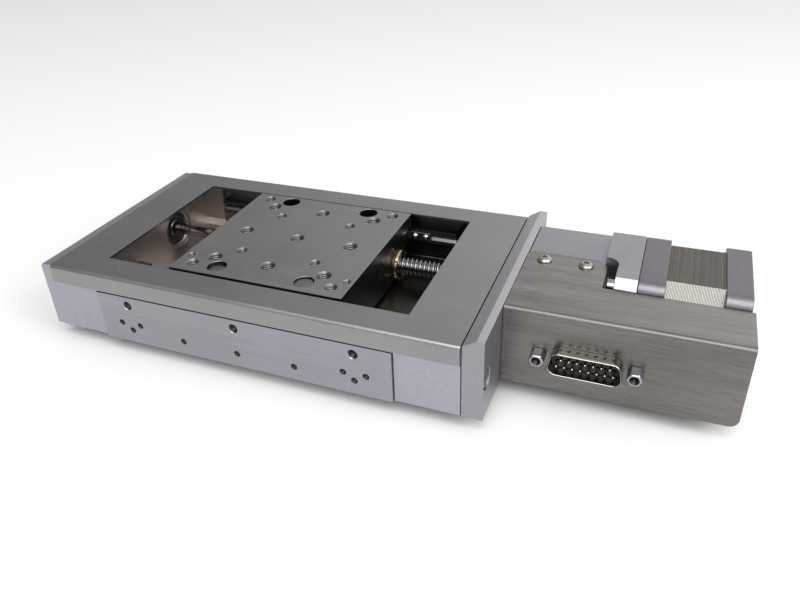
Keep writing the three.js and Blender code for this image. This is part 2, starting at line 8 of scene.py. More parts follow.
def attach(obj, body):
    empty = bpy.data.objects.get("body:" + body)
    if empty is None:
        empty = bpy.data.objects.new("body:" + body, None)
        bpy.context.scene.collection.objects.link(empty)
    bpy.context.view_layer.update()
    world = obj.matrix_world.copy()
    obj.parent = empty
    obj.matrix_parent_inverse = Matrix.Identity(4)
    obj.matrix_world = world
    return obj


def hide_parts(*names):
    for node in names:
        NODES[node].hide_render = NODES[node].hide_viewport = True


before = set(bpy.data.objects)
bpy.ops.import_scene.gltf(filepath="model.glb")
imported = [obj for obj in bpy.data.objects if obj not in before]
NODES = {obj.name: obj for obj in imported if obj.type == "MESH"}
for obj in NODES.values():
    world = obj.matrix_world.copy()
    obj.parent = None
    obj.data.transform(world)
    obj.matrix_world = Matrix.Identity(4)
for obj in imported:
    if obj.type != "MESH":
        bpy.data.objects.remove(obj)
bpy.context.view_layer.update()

MM = 0.001
scene = bpy.context.scene

# ------------------------------------------------------------------ dimensions (millimetres, part frame)
AY, AZ = 17.4, 21.6                      # screw and motor axis
BASE_HX, BASE_HY, BASE_HY_UP = 65.0, 51.9, 50.1
WALL_IN, LEDGE_IN, FLOOR_Z, LEDGE_Z = 44.6, 41.5, 13.2, 23.7
SKIRT_Z, UNDER_Z = 28.4, 34.9
COVER_T, COVER_TOP, COVER_HY = 1.2, 36.5, 51.6
COVER_X0, COVER_X1 = -87.2, 89.75
WIN_HX, WIN_HY = 67.0, 38.6
CAR_X, CAR_HX, CAR_HY, CAR_TOP, CAR_PLATE_Z, CAR_Z0, CAR_BODY_HY = 1.1, 38.7, 37.4, 36.95, 30.4, 15.0, 29.8
PAT_Y = 0.7
V_Z, V_H, OUT_FACE, IN_FACE = 26.9, 1.62, 36.7, 35.5
BOX_X0, BOX_X1, BOX_Y0, BOX_Y1, BOX_Z0, BOX_TOP = 98.15, 179.6, -26.9, -4.5, 7.0, 39.5
DS_X, DS_Z, JACK = 128.3, 22.0, 16.65


# ================================================================== materials
def new_mat(name):
    m = bpy.data.materials.new(name)
    m.use_nodes = True
    nt = m.node_tree
    nt.nodes.clear()
    out = nt.nodes.new("ShaderNodeOutputMaterial")
    b = nt.nodes.new("ShaderNodeBsdfPrincipled")
    nt.links.new(b.outputs[0], out.inputs[0])
    return m, nt, b


def node(nt, kind, **kw):
    n = nt.nodes.new(kind)
    for k, v in kw.items():
        if k.startswith("in_"):
            n.inputs[k[3:]].default_value = v
        else:
            setattr(n, k, v)
    return n


def mapped(nt, scale, rot=(0, 0, 0)):
    tc = node(nt, "ShaderNodeTexCoord")
    mp = node(nt, "ShaderNodeMapping")
    mp.inputs["Scale"].default_value = scale
    mp.inputs["Rotation"].default_value = rot
    nt.links.new(tc.outputs["Object"], mp.inputs["Vector"])
    return mp.outputs["Vector"]


def noise_tex(nt, vec, scale=1.0, detail=4.0, rough=0.55, dist=0.0):
    n = node(nt, "ShaderNodeTexNoise")
    n.inputs["Scale"].default_value = scale
    n.inputs["Detail"].default_value = detail
    n.inputs["Roughness"].default_value = rough
    n.inputs["Distortion"].default_value = dist
    nt.links.new(vec, n.inputs["Vector"])
    return n.outputs["Fac"]


def ramp(nt, fac, stops):
    r = node(nt, "ShaderNodeValToRGB")
    els = r.color_ramp.elements
    while len(els) < len(stops):
        els.new(0.5)
    for e, (p, c) in zip(els, stops):
        e.position = p
        e.color = (c[0], c[1], c[2], 1) if isinstance(c, (tuple, list)) else (c, c, c, 1)
    nt.links.new(fac, r.inputs["Fac"])
    return r.outputs["Color"]


def mix(nt, a, b, fac, mode="MIX"):
    n = node(nt, "ShaderNodeMix", data_type="RGBA", blend_type=mode)
    for sock, v in ((n.inputs[6], a), (n.inputs[7], b)):
        if isinstance(v, bpy.types.NodeSocket):
            nt.links.new(v, sock)
        else:
            sock.default_value = (v[0], v[1], v[2], 1)
    if isinstance(fac, bpy.types.NodeSocket):
        nt.links.new(fac, n.inputs[0])
    else:
        n.inputs[0].default_value = fac
    return n.outputs[2]


def rng(nt, fac, lo, hi, a=0.0, b=1.0):
    n = node(nt, "ShaderNodeMapRange")
    n.inputs["From Min"].default_value = a
    n.inputs["From Max"].default_value = b
    n.inputs["To Min"].default_value = lo
    n.inputs["To Max"].default_value = hi
    nt.links.new(fac, n.inputs["Value"])
    return n.outputs["Result"]


def add2(nt, a, b, op="ADD"):
    n = node(nt, "ShaderNodeMath", operation=op)
    for s, v in ((n.inputs[0], a), (n.inputs[1], b)):
        if isinstance(v, bpy.types.NodeSocket):
            nt.links.new(v, s)
        else:
            s.default_value = v
    return n.outputs[0]


def bump(nt, bsdf, height, strength, dist):
    n = node(nt, "ShaderNodeBump")
    n.inputs["Strength"].default_value = strength
    n.inputs["Distance"].default_value = dist
    nt.links.new(height, n.inputs["Height"])
    nt.links.new(n.outputs["Normal"], bsdf.inputs["Normal"])


def edge_wear(nt, lo=0.52, hi=0.62):
    """Bright where the surface is convex: handled and burnished edges."""
    g = node(nt, "ShaderNodeNewGeometry")
    return rng(nt, g.outputs["Pointiness"], 0.0, 1.0, lo, hi)


def metal(name, base, rough, along=(1.0, 1.0, 1.0), streak=0.0, streak_col=0.0, grain=0.0, mottle=0.06,
          rough_var=0.08, tint=None, aniso=0.0, bump_s=0.0, bump_d=2e-5, wear=0.25, smudge=0.5, bands=0.0, painted_shade_x=None):
    """Machined metal. `along` shrinks the brushing pattern along its direction, in stretched cycles per metre."""
    m, nt, b = new_mat(name)
    b.inputs["Metallic"].default_value = 1.0
    fine = noise_tex(nt, mapped(nt, along), 1.0, 3.0, 0.6)
    coarse = noise_tex(nt, mapped(nt, tuple(v * 0.21 for v in along)), 1.0, 2.0, 0.5)
    streaks = add2(nt, add2(nt, fine, 0.62, "MULTIPLY"), add2(nt, coarse, 0.38, "MULTIPLY"))
    blotch = noise_tex(nt, mapped(nt, (26, 26, 26)), 1.0, 3.0, 0.5)
    dust = noise_tex(nt, mapped(nt, (700, 700, 700)), 1.0, 2.0, 0.5)
    t = tint or base
    dark = tuple(v * (1 - mottle) for v in base)
    light = tuple(min(1.0, v * (1 + mottle)) for v in t)
    col = mix(nt, dark, light, rng(nt, blotch, 0, 1, 0.3, 0.7))
    if streak_col:
        lo, hi = 1 - streak_col, 1 + streak_col
        col = mix(nt, col, ramp(nt, streaks, [(0.28, lo * 0.5), (0.72, min(1.0, hi * 0.5))]), 1.0, "MULTIPLY")
        col = mix(nt, col, (2.0, 2.0, 2.0), 1.0, "MULTIPLY")
    if bands:                       # wide, faint streaks of the rolled sheet
        wide = noise_tex(nt, mapped(nt, tuple(v * 0.085 for v in along)), 1.0, 2.0, 0.45)
        col = mix(nt, col, ramp(nt, wide, [(0.30, 0.5 * (1 - bands)), (0.70, 0.5 * (1 + bands))]), 1.0, "MULTIPLY")
        col = mix(nt, col, (2.0, 2.0, 2.0), 1.0, "MULTIPLY")
    if painted_shade_x:                       # painted shade: darkens the colour along X, for the trough's shadowed right half: (from, to, factor)
        sp = node(nt, "ShaderNodeSeparateXYZ")
        tcx = node(nt, "ShaderNodeTexCoord")
        nt.links.new(tcx.outputs["Object"], sp.inputs[0])
        f = rng(nt, sp.outputs["X"], 1.0, painted_shade_x[2], painted_shade_x[0], painted_shade_x[1])
        col = mix(nt, (0, 0, 0), col, f)
    if grain:
        col = mix(nt, col, ramp(nt, dust, [(0.3, 0.5 * (1 - grain)), (0.7, 0.5 * (1 + grain))]), 1.0, "MULTIPLY")
        col = mix(nt, col, (2.0, 2.0, 2.0), 1.0, "MULTIPLY")
    if wear:
        col = mix(nt, col, tuple(min(1.0, v * 1.5) for v in base), add2(nt, edge_wear(nt), wear, "MULTIPLY"))
    nt.links.new(col, b.inputs["Base Color"])
    r1 = rng(nt, streaks, rough - rough_var, rough + rough_var, 0.3, 0.7)
    r2 = rng(nt, blotch, -0.04 * smudge, 0.08 * smudge, 0.3, 0.75)
    nt.links.new(add2(nt, r1, r2), b.inputs["Roughness"])
    if aniso:
        b.inputs["Anisotropic"].default_value = aniso
        tg = node(nt, "ShaderNodeTangent", direction_type="UV_MAP")
        tg.uv_map = "brush"
        nt.links.new(tg.outputs[0], b.inputs["Tangent"])
    if bump_s:
        h = add2(nt, add2(nt, streaks, 1.0, "MULTIPLY"), add2(nt, dust, 0.35 * (1 if grain else 0), "MULTIPLY"))
        bump(nt, b, h, bump_s, bump_d)
    return m


def plastic(name, base, rough, grain=900, bs=0.25, spec=0.5, var=0.2):
    m, nt, b = new_mat(name)
    blotch = noise_tex(nt, mapped(nt, (40, 40, 40)), 1.0, 4.0, 0.6)
    g = noise_tex(nt, mapped(nt, (grain, grain, grain)), 1.0, 3.0, 0.6)
    col = mix(nt, tuple(v * (1 - var) for v in base), tuple(min(1, v * (1 + var)) for v in base), blotch)
    nt.links.new(col, b.inputs["Base Color"])
    nt.links.new(rng(nt, g, rough - 0.08, rough + 0.1, 0.3, 0.7), b.inputs["Roughness"])
    b.inputs["Specular IOR Level"].default_value = spec
    bump(nt, b, g, bs, 2e-5)
    return m


# streak vectors: cycles per metre, low along the brushing direction
ALONG_X = (70.0, 1900.0, 1900.0)
FINE = (2400.0, 2400.0, 2400.0)

M = {}
M["base_steel"] = metal("ground_steel", (0.30, 0.302, 0.335), 0.33, ALONG_X, streak_col=0.10, mottle=0.05,
                        aniso=0.45, bump_s=0.22, bump_d=1.0e-5)
# trough steel with painted shade: its colour falls to 0.24 of itself from x = 0 to x = 50 mm
M["trough_steel_shaded"] = metal("trough_steel_shaded", (0.25, 0.232, 0.22), 0.30, (60.0, 1500.0, 1500.0), streak_col=0.07, mottle=0.08,
                          bump_s=0.10, bump_d=1.0e-5, rough_var=0.05, painted_shade_x=(0.0, 0.05, 0.24))
# painted shade: a darker copy of the table's ground steel for its sides and the body under the plate
M["table_side"] = metal("table_side_painted_shade", (0.13, 0.128, 0.125), 0.30, (900.0, 130.0, 2000.0), streak_col=0.06, mottle=0.08,
                        bump_s=0.12, bump_d=1.0e-5, rough_var=0.05)
# painted light: a lighter copy of the flange's aluminium for its top faces
M["flange_top"] = metal("flange_top_painted_light", (0.45, 0.44, 0.465), 0.40, (2400.0, 400.0, 2400.0), streak_col=0.05, grain=0.04,
                        mottle=0.03, bump_s=0.12, bump_d=1.0e-5, rough_var=0.04, smudge=0.3)
# painted shade: a darker copy of the shell's nickel inside the pressed dimples
M["dimple"] = metal("shell_dimple_painted_shade", (0.15, 0.14, 0.12), 0.25, (300.0, 300.0, 300.0), mottle=0.08, wear=0)
# painted light: a lighter, warmer copy of the block's aluminium for the lit pocket of the left end block
M["pocket"] = metal("pocket_painted_light", (0.47, 0.42, 0.39), 0.40, (700.0, 700.0, 90.0), streak_col=0.06, mottle=0.08,
                    bump_s=0.12, bump_d=1.0e-5, rough_var=0.05)
# painted shade: near-black and darkened steel copies for the walls and bottoms of holes, the mouths lighter than the
# deeper walls
M["hole"] = metal("tapped_hole_painted_shade", (0.045, 0.044, 0.045), 0.36, FINE, streak_col=0.1, mottle=0.1, bump_s=0.1, bump_d=1e-5, wear=0)
M["hole_table"] = metal("hole_thread_painted_shade", (0.125, 0.124, 0.125), 0.42, FINE, streak_col=0.1, mottle=0.1, bump_s=0.1, bump_d=1e-5, wear=0)
M["hole_mouth"] = metal("hole_mouth_painted_shade", (0.165, 0.165, 0.167), 0.42, FINE, streak_col=0.05, mottle=0.06, bump_s=0.05, bump_d=1e-5, wear=0)
M["cover"] = metal("cover_stainless", (0.275, 0.271, 0.278), 0.34, (90.0, 2200.0, 2200.0), streak_col=0.045, mottle=0.05,
                   aniso=0.35, bump_s=0.10, bump_d=8e-6, rough_var=0.04, grain=0.03)
M["table"] = metal("table_ground", (0.275, 0.276, 0.28), 0.31, (2000.0, 130.0, 900.0), streak_col=0.045, mottle=0.06,
                   aniso=0.3, bump_s=0.10, bump_d=8e-6, rough_var=0.05, grain=0.03)
M["block"] = metal("anodised_aluminium", (0.355, 0.36, 0.405), 0.46, FINE, streak_col=0.03, grain=0.05,
                   mottle=0.025, bump_s=0.12, bump_d=1.0e-5, rough_var=0.03, smudge=0.3)
M["bracket"] = metal("machined_aluminium", (0.295, 0.290, 0.315), 0.40, (2400.0, 500.0, 2400.0), streak_col=0.04, grain=0.04,
                     mottle=0.03, bump_s=0.12, bump_d=1.0e-5, rough_var=0.04, smudge=0.3)
M["box"] = metal("box_stainless", (0.222, 0.212, 0.205), 0.27, (130.0, 1500.0, 1500.0), streak_col=0.27, mottle=0.05,
                 aniso=0.6, bump_s=0.45, bump_d=1.3e-5, rough_var=0.08, bands=0.16)
# painted shade: a darker copy of the box's stainless for its front face
M["box_front"] = metal("box_front_painted_shade", (0.172, 0.163, 0.157), 0.29, (130.0, 1500.0, 1500.0), streak_col=0.27, mottle=0.06,
                       aniso=0.6, bump_s=0.45, bump_d=1.3e-5, rough_var=0.08, bands=0.14)
# painted shade: a darker, rougher copy of the box's stainless on the front fold, which tones down its highlight
M["box_bend"] = metal("box_bend_painted_shade", (0.185, 0.178, 0.172), 0.42, (75.0, 1700.0, 1700.0), streak_col=0.25, mottle=0.10,
                      bump_s=0.35, bump_d=1.3e-5, rough_var=0.08, bands=0.2)
# painted highlight: a bright copy of the stainless on the rounded rear edge of the lap
M["box_edge"] = metal("box_edge_painted_highlight", (0.58, 0.57, 0.56), 0.26, (75.0, 1700.0, 1700.0), streak_col=0.2, mottle=0.12,
                      bump_s=0.3, bump_d=1.3e-5, rough_var=0.08, bands=0.2)
M["cast"] = metal("cast_aluminium", (0.182, 0.168, 0.185), 0.41, FINE, streak_col=0.06, grain=0.07,
                  mottle=0.035, bump_s=0.20, bump_d=2e-5, rough_var=0.04, smudge=0.4)
M["rail"] = metal("rail_ground", (0.12, 0.12, 0.122), 0.28, ALONG_X, streak_col=0.08, mottle=0.04, aniso=0.3, bump_s=0.12,
                  bump_d=8e-6, rough_var=0.04)
M["screw"] = metal("screw_polished", (0.32, 0.315, 0.32), 0.19, (1400.0, 120.0, 120.0), streak_col=0.05, mottle=0.04,
                   bump_s=0.05, bump_d=6e-6, rough_var=0.03)
# painted shade: a darker copy of the screw's steel in its helical groove
M["groove"] = metal("screw_groove_painted_shade", (0.17, 0.17, 0.175), 0.24, (1400.0, 120.0, 120.0), streak_col=0.05, mottle=0.08,
                    bump_s=0.05, bump_d=6e-6, rough_var=0.03, wear=0)
M["ball"] = metal("ball_steel", (0.60, 0.60, 0.61), 0.07, (300.0, 300.0, 300.0), mottle=0.02, rough_var=0.02, wear=0)
M["cage"] = metal("cage_steel", (0.16, 0.16, 0.165), 0.34, ALONG_X, streak_col=0.12, mottle=0.05, bump_s=0.15, bump_d=1e-5)
M["zinc"] = metal("zinc_plate", (0.34, 0.345, 0.355), 0.36, (1200.0, 1200.0, 1200.0), streak_col=0.08, grain=0.08, mottle=0.08,
                  bump_s=0.15, bump_d=1.5e-5)
M["button"] = metal("button_nickel", (0.38, 0.35, 0.315), 0.28, (900.0, 900.0, 900.0), streak_col=0.05, mottle=0.06,
                    bump_s=0.1, bump_d=1e-5)
M["dark_screw"] = metal("table_screw_steel", (0.22, 0.22, 0.222), 0.36, (1800.0, 1800.0, 1800.0), streak_col=0.10,
                        grain=0.08, mottle=0.1, bump_s=0.2, bump_d=1.5e-5)
M["nickel"] = metal("shell_nickel", (0.40, 0.385, 0.345), 0.18, (90.0, 1200.0, 400.0), streak_col=0.08, mottle=0.10,
                    bump_s=0.12, bump_d=1.2e-5, rough_var=0.06)
M["pin"] = metal("pin_plating", (0.46, 0.455, 0.43), 0.17, (400.0, 60.0, 400.0), mottle=0.06, rough_var=0.04, wear=0.1)
M["brass"] = metal("collar_brass", (0.46, 0.36, 0.15), 0.26, (500.0, 60.0, 60.0), streak_col=0.12, mottle=0.12,
                   bump_s=0.15, bump_d=1e-5)
M["dark_steel"] = metal("rotor_steel", (0.12, 0.112, 0.105), 0.33, (60.0, 900.0, 900.0), streak_col=0.12, mottle=0.12,
                        bump_s=0.2, bump_d=1e-5)
M["black"] = plastic("moulded_black", (0.012, 0.012, 0.014), 0.34)
M["board"] = plastic("solder_mask_green", (0.018, 0.11, 0.045), 0.32, grain=300, bs=0.15, var=0.3)
M["red"] = plastic("spider_polyurethane", (0.45, 0.03, 0.025), 0.42, grain=400, bs=0.2)


def lamination_material():
    m, nt, b = new_mat("lamination_edges")
    b.inputs["Metallic"].default_value = 1.0
    lines = noise_tex(nt, mapped(nt, (1900.0, 14.0, 14.0)), 1.0, 2.0, 0.6)
    flecks = noise_tex(nt, mapped(nt, (1500.0, 160.0, 160.0)), 1.0, 3.0, 0.7)
    blotch = noise_tex(nt, mapped(nt, (60, 60, 60)), 1.0, 3.0, 0.5)
    col = mix(nt, (0.118, 0.106, 0.092), (0.16, 0.146, 0.13), rng(nt, lines, 0, 1, 0.3, 0.7))
    col = mix(nt, col, (0.095, 0.083, 0.07), rng(nt, blotch, 0, 0.35, 0.35, 0.8))
    nt.links.new(col, b.inputs["Base Color"])
    nt.links.new(rng(nt, flecks, 0.30, 0.5, 0.3, 0.7), b.inputs["Roughness"])
    bump(nt, b, add2(nt, lines, flecks), 0.35, 3e-5)
    return m


M["stack"] = lamination_material()
M["stack_edge"] = metal("lamination_corner", (0.20, 0.193, 0.178), 0.36, (1700.0, 200.0, 200.0), streak_col=0.45,
                        mottle=0.10, bump_s=0.9, bump_d=5e-5, rough_var=0.12)


# ================================================================== mesh helpers
def finish_mesh(ob, mats, angle=32.0, weighted=True):
    me = ob.data
    for mm in (mats if isinstance(mats, (list, tuple)) else [mats]):
        me.materials.append(mm)
    for p in me.polygons:
        p.use_smooth = True
    me.set_sharp_from_angle(angle=math.radians(angle))
    if weighted:
        w = ob.modifiers.new("weighted", "WEIGHTED_NORMAL")
        w.keep_sharp = True
        w.weight = 100
    return ob


def brush_uv(ob):
    """A flat projection with u along X (or along Y on end faces), so the brushing tangent is even."""
    me = ob.data
    uv = me.uv_layers.get("brush") or me.uv_layers.new(name="brush")
    vs = me.vertices
    for p in me.polygons:
        n = p.normal
        ax, ay, az = abs(n.x), abs(n.y), abs(n.z)
        for li in p.loop_indices:
            co = vs[me.loops[li].vertex_index].co
            if ax > ay and ax > az:
                uv.data[li].uv = (co.y * 10, co.z * 10)
            elif ay > az:
                uv.data[li].uv = (co.x * 10, co.z * 10)
            else:
                uv.data[li].uv = (co.x * 10, co.y * 10)


def to_object(bm, name):
    """Takes a mesh in millimetres; the object is in metres."""
    bmesh.ops.recalc_face_normals(bm, faces=bm.faces)
    bm.transform(Matrix.Scale(MM, 4))
    me = bpy.data.meshes.new(name)
    bm.to_mesh(me)
    bm.free()
    ob = bpy.data.objects.new(name, me)
    scene.collection.objects.link(ob)
    return ob


def axis_map(axis):
    """Maps (a, b, t) to part axes, t along the axis: X -> (y, z), Y -> (x, z), Z -> (x, y)."""
    if axis == "X":
        return lambda a, b, t: Vector((t, a, b))
    if axis == "Y":
        return lambda a, b, t: Vector((a, t, b))
    return lambda a, b, t: Vector((a, b, t))


def prism_bm(pts, axis, t0, t1, bevel=0.0, segs=2, angle=30.0, bm=None):
    bm = bm or bmesh.new()
    f = axis_map(axis)
    lo = [bm.verts.new(f(a, b, t0)) for a, b in pts]
    hi = [bm.verts.new(f(a, b, t1)) for a, b in pts]
    n = len(pts)
    faces = [bm.faces.new(lo[::-1]), bm.faces.new(hi)]
    for i in range(n):
        faces.append(bm.faces.new([lo[i], lo[(i + 1) % n], hi[(i + 1) % n], hi[i]]))
    bmesh.ops.recalc_face_normals(bm, faces=faces)
    if bevel:
        bm.normal_update()
        es = {e for fc in faces for e in fc.edges}
        es = [e for e in es if len(e.link_faces) == 2 and e.calc_face_angle(0) > math.radians(angle)]
        bmesh.ops.bevel(bm, geom=es, offset=bevel, segments=segs, profile=0.5, affect="EDGES", clamp_overlap=True)
    return bm


def box_pts(a0, a1, b0, b1):
    return [(a0, b0), (a1, b0), (a1, b1), (a0, b1)]


def prism(name, pts, axis, t0, t1, bevel=0.0, segs=2, angle=30.0):
    return to_object(prism_bm(pts, axis, t0, t1, bevel, segs, angle), name)


def lathe_bm(profile, axis, c1, c2, n=48, closed=False, bm=None, phase=0.0):
    """profile: (t, r) along the axis. Open profiles start and end on the axis; closed ones are rings."""
    bm = bm or bmesh.new()
    f = axis_map(axis)
    rings = []
    for t, r in profile:
        if r <= 1e-6:
            rings.append([bm.verts.new(f(c1, c2, t))])
        else:
            rings.append([bm.verts.new(f(c1 + r * math.cos(phase + 2 * math.pi * j / n), c2 + r * math.sin(phase + 2 * math.pi * j / n), t)) for j in range(n)])
    seq = list(range(len(rings)))
    pairs = list(zip(seq[:-1], seq[1:])) + ([(seq[-1], seq[0])] if closed else [])
    faces = []
    for i, k in pairs:
        A, B = rings[i], rings[k]
        if len(A) == 1 and len(B) == 1:
            continue
        for j in range(n):
            j2 = (j + 1) % n
            if len(A) == 1:
                faces.append(bm.faces.new([A[0], B[j], B[j2]]))
            elif len(B) == 1:
                faces.append(bm.faces.new([A[j], B[0], A[j2]]))
            else:
                faces.append(bm.faces.new([A[j], B[j], B[j2], A[j2]]))
    bmesh.ops.recalc_face_normals(bm, faces=faces)
    return bm


def lathe(name, profile, axis, c1, c2, n=48, closed=False, phase=0.0):
    return to_object(lathe_bm(profile, axis, c1, c2, n, closed, phase=phase), name)


def evaluate(ob):
    dg = bpy.context.evaluated_depsgraph_get()
    dg.update()
    me = bpy.data.meshes.new_from_object(ob.evaluated_get(dg))
    old = ob.data
    ob.modifiers.clear()
    ob.data = me
    me.name = ob.name
    bpy.data.meshes.remove(old)


def boolean(ob, cutters, op="DIFFERENCE", selfx=False):
    """Cuts with each group of bmeshes in turn; the pieces of one group don't overlap one another."""
    for group in cutters:
        bm = bmesh.new()
        tmp = bpy.data.meshes.new("tmp")
        for c in (group if isinstance(group, (list, tuple)) else [group]):
            c.to_mesh(tmp)
            c.free()
            bm.from_mesh(tmp)
        bpy.data.meshes.remove(tmp)
        cut_ob = to_object(bm, "cutter")
        md = ob.modifiers.new("bool", "BOOLEAN")
        md.operation = op
        md.solver = "EXACT"
        md.use_self = selfx
        md.object = cut_ob
        evaluate(ob)
        bpy.data.objects.remove(cut_ob)
    return ob


def tidy(ob, dist=1e-6):
    bm = bmesh.new()
    bm.from_mesh(ob.data)
    bmesh.ops.remove_doubles(bm, verts=bm.verts, dist=dist)
    bmesh.ops.dissolve_degenerate(bm, edges=bm.edges, dist=dist)
    bm.to_mesh(ob.data)
    bm.free()


def join_bm(*bms):
    out = bmesh.new()
    tmp = bpy.data.meshes.new("tmp")
    for b in bms:
        b.to_mesh(tmp)
        b.free()
        out.from_mesh(tmp)
    bpy.data.meshes.remove(tmp)
    return out


def tapped(axis, c1, c2, face, inward, r, depth, pitch, n=36, sink=0.35, run=0.8):
    """Cutter of a tapped hole: countersunk mouth, thread rings and a drill point. `inward` is -1 or +1 along the axis."""
    s = inward
    p = [(face - s * run, 0), (face - s * run, r + sink + run), (face + s * sink, r + 0.02)]
    t = sink
    h = pitch * 0.30
    rmaj = r + 0.04
    rmin = r - h
    while t + pitch < depth - r * 0.4:
        p += [(face + s * (t + pitch * 0.12), rmaj), (face + s * (t + pitch * 0.5), rmin), (face + s * (t + pitch * 0.62), rmin)]
        t += pitch
    p += [(face + s * (t + 0.1), rmin), (face + s * (depth - 0.5), rmin), (face + s * depth, 0)]
    return lathe_bm(p, axis, c1, c2, n)


def bored(axis, c1, c2, face, inward, r, depth, sink=0.25, n=40, run=0.8):
    """Cutter of a plain flat-bottomed bore with a broken edge."""
    s = inward
    p = [(face - s * run, 0), (face - s * run, r + sink + run), (face + s * sink, r), (face + s * depth, r), (face + s * depth, 0)]
    return lathe_bm(p, axis, c1, c2, n)


def socket(axis, c1, c2, face, inward, rad, depth, n=6, phase=math.pi / 6, run=0.5):
    s = inward
    p = [(face - s * run, 0), (face - s * run, rad), (face + s * depth, rad), (face + s * (depth + rad * 0.35), 0)]
    return lathe_bm(p, axis, c1, c2, n, phase=phase)


def install(ob, body, slot, *nodes, uv=True):
    if uv:
        brush_uv(ob)
    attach(ob, body)
    if nodes:
        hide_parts(*nodes)
    return ob


def face_materials(ob, pick):
    """pick(centre in mm, normal) -> material index"""
    for p in ob.data.polygons:
        p.material_index = pick(p.center / MM, p.normal)


# ================================================================== the ground steel base
def build_base():
    half = [(BASE_HY, 6.0), (BASE_HY, SKIRT_Z - 0.3), (BASE_HY_UP, SKIRT_Z - 0.3), (BASE_HY_UP, UNDER_Z), (WALL_IN, UNDER_Z),
            (WALL_IN, LEDGE_Z), (LEDGE_IN, LEDGE_Z), (LEDGE_IN, FLOOR_Z + 1.2), (LEDGE_IN - 0.35, FLOOR_Z + 0.35), (LEDGE_IN - 1.2, FLOOR_Z)]
    pts = half + [(-y, z) for y, z in reversed(half)]
    ob = prism("ground_base", pts, "X", -BASE_HX, BASE_HX, 0.35, 2)
    c = 3.0
    pad = [(58 - c, -40), (58, -40 + c), (58, 40 - c), (58 - c, 40), (-58 + c, 40), (-58, 40 - c), (-58, -40 + c), (-58 + c, -40)]
    boolean(ob, [[prism_bm(pad, "Z", 0.0, 7.0, 0.3, 2, 40)]], "UNION")
    cut = []
    for x in (-50, 0, 50):
        cut.append(tapped("Y", x, 24.1, -BASE_HY, 1, 1.8, 6.0, 0.7, 28, 0.3))
    for x, z in [(-50, 12.3), (-25, 12.3), (0, 12.3), (25, 12.3), (50, 12.3), (-54.8, 15.3), (-45.6, 15.3), (45.6, 15.3), (54.8, 15.3)]:
        cut.append(tapped("Y", x, z, -BASE_HY, 1, 1.12, 4.5, 0.45, 24, 0.22))
    boolean(ob, [cut])
    through = [lathe_bm([(-1, 0), (-1, 4.2), (0.4, 3.3), (7.2, 3.3), (7.2, 5.5), (12.7, 5.5), (14.2, 6.8), (14.2, 0)], "Z", x, y, 40)
               for x in (-45, 45) for y in (-30, 30)]
    boolean(ob, [through])
    finish_mesh(ob, [M["base_steel"], M["trough_steel_shaded"], M["hole"]])
    front = [(x, 24.1, 2.5) for x in (-50, 0, 50)] + [(x, z, 1.7) for x, z in [(-50, 12.3), (-25, 12.3), (0, 12.3), (25, 12.3), (50, 12.3), (-54.8, 15.3), (-45.6, 15.3), (45.6, 15.3), (54.8, 15.3)]]

    def pick(c, n):
        # index 2: painted shade on the faces inside the front tapped holes
        if c.y < -44 and c.y > -BASE_HY + (0.28 if abs(c.z - 24.1) < 2.5 else 0.06) and any(math.hypot(c.x - x, c.z - z) < q for x, z, q in front):
            return 2
        # index 1: the trough, whose steel carries painted shade towards +X
        return 1 if (abs(c.y) < BASE_HY_UP - 0.3 and FLOOR_Z - 0.3 < c.z < UNDER_Z - 0.2 and abs(c.x) < 64.8) else 0

    face_materials(ob, pick)
    install(ob, "frame", "base_steel", "base_body")


build_base()


# ================================================================== end blocks and end plate
def block_pts():
    half = [(50.9, 6.3), (50.9, SKIRT_Z - 0.2), (BASE_HY_UP, SKIRT_Z - 0.2), (BASE_HY_UP, UNDER_Z)]
    return half + [(-y, z) for y, z in reversed(half)]


def build_left_block():
    ob = prism("end_block_left_machined", block_pts(), "X", -87.2, -65.15, 0.3, 2)
    r = 2.5
    pocket = prism_bm([(-43 + r, FLOOR_Z), (43 - r, FLOOR_Z), (43, FLOOR_Z + r), (43, 40), (-43, 40), (-43, FLOOR_Z + r)], "X", -75.5, -60, 0)
    boolean(ob, [[pocket]])
    boolean(ob, [[lathe_bm([(-74, 0), (-74, 9.6), (-75.2, 9.6), (-75.5, 9.3), (-76.7, 9.3), (-76.7, 8.4), (-77.0, 8.06), (-81.7, 8.06), (-81.7, 4.5), (-88, 4.5), (-88, 0)], "X", AY, AZ, 64)]])
    screws = [lathe_bm([(-88, 0), (-88, 2.1), (-81.2, 2.1), (-80.2, 0)], "X", y, z, 24) for y in (-42, 42) for z in (12.5, 29.5)]
    boolean(ob, [screws])
    finish_mesh(ob, [M["block"], M["pocket"]])
    # index 1: the pocket faces, in the painted-light copy
    face_materials(ob, lambda c, n: 1 if (c.x > -86.9 and abs(c.y) < 43.1 and FLOOR_Z - 0.3 < c.z < UNDER_Z - 0.3 and c.x < -65.4) else 0)
    install(ob, "frame", "block_aluminium", "end_block_left")


